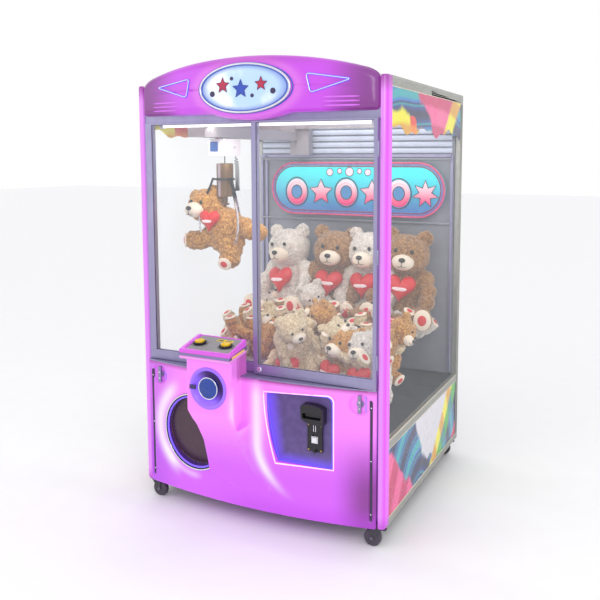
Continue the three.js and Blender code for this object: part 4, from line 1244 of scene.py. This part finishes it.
# ---- crane ----
def crane():
    steel = brushed("zinc_steel", "#b4adb4", 0.38, (1, 0.06, 1))
    for node in ("gantry_frame", "bridge_beam", "winch_drum"):
        assign(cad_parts[node], steel)
    white = plain("trolley_paint", "#eee6ee", 0.4)
    assign(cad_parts["trolley_box"], white)
    trim = Build()
    trim.slab(rounded([(-384, 1655), (-340, 1655), (-340, 1702), (-384, 1702)], 6), 248.6, 249.9, 0)
    for x, z in ((-390, 1640), (-311, 1640), (-390, 1709), (-311, 1709)):
        screw(trim, at(x, 249.8, z), (0, -1, 0), 2.2, 1)
    for y in (275, 372):
        screw(trim, at(-304.6, y, 1642), (1, 0, 0), 2.2, 1)
        screw(trim, at(-304.6, y, 1707), (1, 0, 0), 2.2, 1)
    trim.finish("trolley_label", "trolley", [plain("label_blue", "#2f5fae", 0.35), steel])
    caps = Build()
    caps.block(at(-396, 88.6, 1719), at(-304, 91, 1773))
    for z in (1730, 1762):
        screw(caps, at(-350, 88.4, z), (0, -1, 0), 3)
    for y in (150, 420, 700, 960):
        screw(caps, at(-304.8, y, 1746), (1, 0, 0), 2.6)
    caps.finish("bridge_end_cap", "bridge", [plain("cap_paint", "#a79a9f", 0.4)], bevel=0.0015)
    solenoid()


def solenoid():
    recipe = Recipe("solenoid_bronze", 0.32, 0.35)
    x, y, z = recipe.axes()
    colour = recipe.mottle(paint("#6f5234"), 0.18, 12)
    # Painted highlight: a narrow pale band down the front of the can.
    front_highlight = recipe.times(recipe.band(x, CLAW_X - 8, 8), recipe.fade(y, CLAW_Y, CLAW_Y - 20))
    recipe.set("Base Color", recipe.mix(front_highlight, colour, paint("#b8a6b4")))
    recipe.bump(recipe.noise(300, 2), 0.0001, 0.3)
    can = Build()
    profile = [(0, 1396), (18, 1396), (20, 1398), (20, 1403), (18, 1404.5), (12, 1404.5), (12, 1437),
               (38, 1437),
               (41, 1439.5), (41, 1516), (41, 1528), (41, 1593), (39.4, 1597), (36, 1598.4), (16, 1598.4),
               (14, 1597.4),
               (0, 1597.4)]
    can.turned(profile, at(CLAW_X, CLAW_Y, 0), (0, 0, 1), 48, 0)
    for a in (0.6, 2.7, 4.8):
        screw(can, at(CLAW_X + 30 * math.cos(a), CLAW_Y + 30 * math.sin(a), 1598.4), (0, 0, 1), 3, 1)
    made = can.finish("solenoid_can", "claw_head", [recipe.material, chrome()],
                      sharp=35)
    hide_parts("claw_solenoid")
    assign(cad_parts["claw_crown"], black_plastic())
    prong = Recipe("prong_finish", 0.25, 0.7)
    _, _, z = prong.axes()
    prong.set("Base Color", prong.mix(prong.fade(z, 1400, 1440), paint("#d6d3dc"), paint("#231f26")))
    prong.roughen(0.15, 0.35, 40)
    for k in (1, 2, 3):
        assign(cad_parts[f"claw_prong_{k}"], prong.material)


# ---- soft toys ----
HEAP_LEFT, HEAP_RIGHT, HEAP_FRONT, HEAP_BACK, HEAP_FLOOR = -572, 572, 64, 1064, 457
CHUTE_BACK, CHUTE_RIGHT = 380, -84
SITTING = [
    ((0, 0, 125), (108, 92, 130)), ((0, 4, 70), (120, 100, 78)), ((0, -18, 318), (112, 98, 96)),
    ((-80, -6, 400), (40, 22, 40)), ((80, -6, 400), (40, 22, 40)), ((0, -92, 292), (52, 42, 38)),
    ((-98, -22, 205), (46, 42, 52)), ((-122, -58, 160), (40, 40, 48)), ((-126, -92, 118), (40, 40, 40)),
    ((98, -22, 205), (46, 42, 52)), ((122, -58, 160), (40, 40, 48)), ((126, -92, 118), (40, 40, 40)),
    ((-78, -70, 48), (56, 62, 50)), ((-104, -128, 48), (50, 60, 48)), ((-122, -178, 54), (46, 34, 54)),
    ((78, -70, 48), (56, 62, 50)), ((104, -128, 48), (50, 60, 48)), ((122, -178, 54), (46, 34, 54)),
]
HANGING = [
    ((0, 0, 0), (96, 86, 100)), ((10, 0, -60), (90, 80, 70)), ((-106, 0, 104), (98, 84, 84)),
    ((-170, -6, 150), (34, 22, 34)), ((-60, -10, 176), (36, 22, 34)), ((-62, 0, 60), (78, 70, 70)),
    ((90, 6, 10), (64, 50, 46)), ((150, 0, -8), (58, 48, 46)), ((196, -6, -14), (40, 40, 42)),
    ((40, -20, -110), (54, 56, 60)), ((44, -34, -150), (52, 50, 46)),
    ((-70, -24, -46), (60, 56, 50)), ((-124, -40, -62), (58, 50, 48)), ((-166, -46, -66), (34, 42, 48)),
]


def furry(name, lumps, voxel, shag):
    """A fur-covered body: lumps joined into one skin, then ruffled into tufts."""
    build = Build()
    for centre, radii in lumps:
        build.ball(Vector(centre) * MM, Vector(radii) * MM)
    mesh = bpy.data.meshes.new(name)
    build.bm.to_mesh(mesh)
    build.bm.free()
    mesh = skin(mesh, voxel, 4)
    normals = [v.normal.copy() for v in mesh.vertices]
    for vertex, normal in zip(mesh.vertices, normals):
        p = vertex.co
        clump = noise.noise(p * 38) * 0.8 + noise.noise(p * 85 + Vector((7, 3, 1))) * 0.8
        fine = noise.noise(p * 190 + Vector((1, 9, 4)))
        comb = Vector((noise.noise(p * 60), noise.noise(p * 60 + Vector((5, 5, 5))), -0.35)) * 0.5
        vertex.co = p + (normal * (clump + 0.7 * fine) + comb) * shag
    return mesh


def heart(build, centre, width, slot, turn):
    """A stuffed satin heart."""
    steps = 36
    outline = []
    for k in range(steps):
        t = 2 * math.pi * k / steps
        outline.append(Vector((16 * math.sin(t) ** 3, 0,
                               13 * math.cos(t) - 5 * math.cos(2 * t) - 2 * math.cos(3 * t)
                               - math.cos(4 * t) + 2)) * (width / 34))
    loops = []
    for share, puff in ((0.03, -0.22), (0.35, -0.21), (0.65, -0.17), (0.88, -0.09), (1.0, 0.0), (0.88, 0.09),
                        (0.65, 0.17), (0.35, 0.21), (0.03, 0.22)):
        loops.append([centre + turn @ (p * share + Vector((0, puff * width, 0))) for p in outline])
    build.rings(loops, slot)


def bear_mesh(name, lumps, voxel, shag, head, snout, eyes, pads, hearts, facing=(0, -1, 0)):
    """A toy bear's mesh. Slots: fur, pale muzzle, dark eyes and nose, red satin, pad."""
    mesh = furry(name, lumps, voxel, shag)
    build = Build()
    build.bm.from_mesh(mesh)
    face = Vector((0, -1, 0)).rotation_difference(Vector(facing)).to_matrix()
    head, snout = Vector(head) * MM, Vector(snout) * MM
    build.ball(snout, Vector((52, 44, 38)) * MM, 1, face)
    tip = snout + face @ (Vector((0, -42, 14)) * MM)
    build.ball(tip, Vector((16, 10, 11)) * MM, 2, face, 14, 8)
    mouth = [snout + face @ (Vector(p) * MM) for p in ((0, -45.5, 6), (0, -46.5, -4), (0, -45, -14))]
    build.tube(mouth, 1.4 * MM, 6, 2)
    for side in (-1, 1):
        eye = Vector(eyes) * MM
        place = head + face @ Vector((side * eye.x, eye.y, eye.z))
        build.ball(place, Vector((9, 6, 10)) * MM, 2, face, 14, 8)
        smile = [snout + face @ (Vector((side * x, y, z)) * MM) for x, y,
                 z in ((0, -45, -14), (10, -43.5, -19),
                                                                                (20, -39, -17))]
        build.tube(smile, 1.3 * MM, 6, 2)
    for centre, radii, towards in pads:
        turn = Vector((0, -1, 0)).rotation_difference(Vector(towards).normalized()).to_matrix()
        build.ball(Vector(centre) * MM, Vector(radii) * MM, 1, turn)
        spot = Vector(centre) * MM + turn @ (Vector((0, -radii[1] + 1, 0)) * MM)
        build.ball(spot, Vector((radii[0] * 0.5, 3.4, radii[2] * 0.5)) * MM, 3, turn, 16, 8)
    for centre, width, towards in hearts:
        turn = Vector((0, -1, 0)).rotation_difference(Vector(towards).normalized()).to_matrix()
        heart(build, Vector(centre) * MM, width * MM, 3, turn)
        seam = Vector(centre) * MM
        build.ball(seam + turn @ (Vector((0, -width * 0.2, -4)) * MM),
                   Vector((width * 0.24, 4, width * 0.07)) * MM, 4,
                   turn, 14, 8)
    bmesh.ops.recalc_face_normals(build.bm, faces=build.bm.faces)
    build.bm.to_mesh(mesh)
    build.bm.free()
    return mesh


def bear_finishes(coat):
    muzzle = plain("muzzle_plush", "#f1e2cf", 0.9, grain=500, depth=0.0006)
    dark = plain("toy_eye", "#1d1014", 0.18)
    satin = plain("heart_satin", "#d8121c", 0.38, grain=160, depth=0.0004)
    pale = plain("heart_trim", "#f6dfe2", 0.6)
    return [FURS[coat](), muzzle, dark, satin, pale]


FURS = {
    "cream": lambda: fur("cream_fur", "#cdb187", "#f4e2c0"),
    "golden": lambda: fur("golden_fur", "#a9691f", "#e5ac58"),
    "white": lambda: fur("white_fur", "#cfc4ba", "#f7efe6"),
    "tan": lambda: fur("tan_fur", "#a17a52", "#d9b78b"),
    "brown": lambda: fur("brown_fur", "#855a30", "#bf9160"),
}


def inside(mesh, low, high):
    """Moves the mesh as little as keeps it between two corners."""
    spread = [[v.co[axis] for v in mesh.vertices] for axis in range(3)]
    mesh.transform(Matrix.Translation([max(a - min(values), 0) or min(b - max(values), 0)
                                       for values, a, b in zip(spread, low, high)]))


def place_bear(name, source, coat, spot, turn, size, body, nodes=()):
    mesh = source.copy()
    mesh.transform(Matrix.Translation(spot) @ turn.to_4x4() @ Matrix.Scale(size, 4))
    if body == "cabinet":
        behind = spot.x < -150 * MM or spot.y > FRONT_Y + 500 * MM
        corner = (HEAP_LEFT, CHUTE_BACK) if behind else (CHUTE_RIGHT, HEAP_FRONT)
        inside(mesh, at(*corner, HEAP_FLOOR), at(HEAP_RIGHT, HEAP_BACK, 1600))
    made = piece(name, mesh, body, bear_finishes(coat),
                 sharp=180)
    if nodes:
        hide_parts(*nodes)
    return made


def turn_to(yaw, pitch=0.0, roll=0.0):
    """Turned about Z by yaw, tipped back by pitch and leaned over by roll, in degrees."""
    spin = [Matrix.Rotation(math.radians(a), 3, axis) for a, axis in ((yaw, "Z"), (pitch, "X"), (roll, "Y"))]
    return spin[0] @ spin[1] @ spin[2]


def toys():
    pads = [((-126, -208, 58), (40, 9, 48), (0, -1, 0)), ((126, -208, 58), (40, 9, 48), (0, -1, 0))]
    details = dict(head=(0, -18, 318), snout=(0, -104, 292), eyes=(38, -93, 26), pads=pads,
                   hearts=[((0, -112, 170), 150, (0, -1, 0.25))])
    fine = bear_mesh("sitting_bear", SITTING, 0.0065, 0.006, **details)
    details["hearts"] = []
    coarse = bear_mesh("heap_bear", SITTING, 0.010, 0.007, **details)
    first = True
    for k, (x, coat) in enumerate(((-290, "white"), (-50, "brown"), (190, "white"), (425, "brown"))):
        lean = (-4, 3, -2, 5)[k]
        place_bear(f"sitting_bear_{k + 1}", fine, coat, at(x, 965, 765), turn_to(lean * 2, 0, lean), 1.12,
                   "cabinet",
                   ["prize_heap"] if first else [])
        first = False
    front_row = [("cream", 30, 150, 6, -2), ("golden", 268, 165, -20, 8), ("white", 478, 172, -6, -10)]
    for k, (coat, x, y, yaw, roll) in enumerate(front_row):
        place_bear(f"front_bear_{k + 1}", fine, coat, at(x, y, 505), turn_to(yaw, -8, roll), 0.86, "cabinet")
    rng = random.Random(7)
    coats = ["tan", "cream", "golden", "cream", "brown", "white"]
    count = 0
    layers = [(470, 0.8, 3), (565, 0.8, 2), (640, 0.84, 1)]
    for z, size, layer in layers:
        for row, y in enumerate(range(290, 900, 140)):
            for column, x in enumerate(range(-400, 480, 160)):
                over_chute = x < -40 and y < 400
                inner = layer > 1 and -300 < x < 420 and y > 250
                if over_chute or inner:
                    continue
                spot = at(x + rng.uniform(-22, 22), y + rng.uniform(-18, 18), z + 30 + rng.uniform(-15, 20)
                          + (y - 300) * 0.05)
                yaw = rng.uniform(-50, 70) if x < 380 else rng.uniform(20, 100)
                tip = rng.choice([-75, -60, -40, 20, -90])
                turn = turn_to(yaw, tip, rng.uniform(-50, 50))
                coat = coats[(count * 5 + row + column) % len(coats)]
                count += 1
                place_bear(f"heap_bear_{count}", coarse, coat, spot, turn, size * 0.8, "cabinet")
    held_details = dict(head=(-106, 0, 104), snout=(-128, -76, 88), eyes=(32, -78, 30),
                        pads=[((44, -84, -168), (38, 8, 32), (0, -1, -0.3)),
                              ((-196, -60, -66), (36, 8, 38), (-0.8, -0.6, 0))],
                        hearts=[((-30, -96, 40), 120, (0, -1, 0.1))], facing=(-0.15, -1, -0.1))
    held = bear_mesh("held_bear", HANGING, 0.0065, 0.006, **held_details)
    place_bear("held_toy", held, "golden", at(CLAW_X, CLAW_Y, 1285), turn_to(0), 1.0, "claw_head",
               ["held_bear"])


# ---- the rest of the frame ----
def soft_shade():
    """A node group that shades a faceted surface smooth, except across its sharp edges."""
    group = bpy.data.node_groups.new("soft_shade", "GeometryNodeTree")
    group.interface.new_socket("Geometry", in_out="INPUT", socket_type="NodeSocketGeometry")
    group.interface.new_socket("Geometry", in_out="OUTPUT", socket_type="NodeSocketGeometry")
    start = group.nodes.new("NodeGroupInput")
    weld = group.nodes.new("GeometryNodeMergeByDistance")
    weld.inputs["Distance"].default_value = 1e-5
    smooth = group.nodes.new("GeometryNodeSetShadeSmooth")
    angle = group.nodes.new("GeometryNodeInputMeshEdgeAngle")
    compare = group.nodes.new("ShaderNodeMath")
    compare.operation = "GREATER_THAN"
    compare.inputs[1].default_value = math.radians(30)
    crease = group.nodes.new("GeometryNodeSetShadeSmooth")
    crease.domain = "EDGE"
    crease.inputs["Shade Smooth"].default_value = False
    end = group.nodes.new("NodeGroupOutput")
    link = group.links.new
    link(start.outputs[0], weld.inputs["Geometry"])
    link(weld.outputs[0], smooth.inputs["Geometry"])
    link(smooth.outputs[0], crease.inputs["Geometry"])
    link(angle.outputs["Unsigned Angle"], compare.inputs[0])
    link(compare.outputs[0], crease.inputs["Selection"])
    link(crease.outputs[0], end.inputs[0])
    return group


def assign(node, material):
    node.data.materials.clear()
    node.data.materials.append(material)


def frame_finishes():
    group = soft_shade()
    alloy = aluminium()
    finishes = {
        "base_plate": plain("dark_paint", "#3b3b40", 0.5),
        "front_frame": alloy,
        "back_panel": plain("rear_paint", "#8f8e93", 0.55),
        "back_wall": plain("wall_paint", "#8f909b", 0.5),
        "back_sign": sign_print(),
        "roof_panel": plain("roof_paint", "#c8c8c6", 0.45),
        "playfield_floor": plain("carpet", "#3a383f", 0.95, grain=700, depth=0.001, amount=0.25),
        "chute_duct": clear("duct_acrylic", "#eef3f8", 0.16),
        "chute_flap": plain("smoked_plastic", "#4a3440", 0.3),
        "coin_mech_plate": black_plastic(),
        "reject_button": plain("white_plastic", "#e9e8ee", 0.45),
        "door_sill": alloy,
        "window_frame_left": alloy,
        "window_frame_right": alloy,
        "window_lock": chrome(),
    }
    lower = printed_side("lower_print", False)
    rail = rail_alloy()
    pane = clear("window_glass", "#eaf2f8", 0.07)
    for side in ("left", "right"):
        finishes[f"side_frame_{side}"] = rail
        finishes[f"side_panel_{side}"] = lower
        finishes[f"side_glass_{side}"] = pane
        finishes[f"window_glass_{side}"] = pane
    for corner in ("front_left", "front_right", "rear_left", "rear_right"):
        finishes[f"caster_fork_{corner}"] = plain("dark_paint", "#3b3b40", 0.5)
    for name, material in finishes.items():
        assign(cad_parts[name], material)
    for name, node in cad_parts.items():
        if node.hide_render:
            continue
        shade = node.modifiers.new("shade", "NODES")
        shade.node_group = group
        edge = node.modifiers.new("edges", "BEVEL")
        edge.width = 0.0008
        edge.segments = 2
        edge.limit_method = "ANGLE"
        edge.angle_limit = math.radians(40)


camera()
hoist_rope()
curly_cable()
studio()
door()
coin_area()
dish()
latches()
console()
marquee()
light_posts()
side_rails()
side_prints()
back_wall_slats()
sign_details()
lamps()
windows()
casters()
crane()
toys()
frame_finishes()
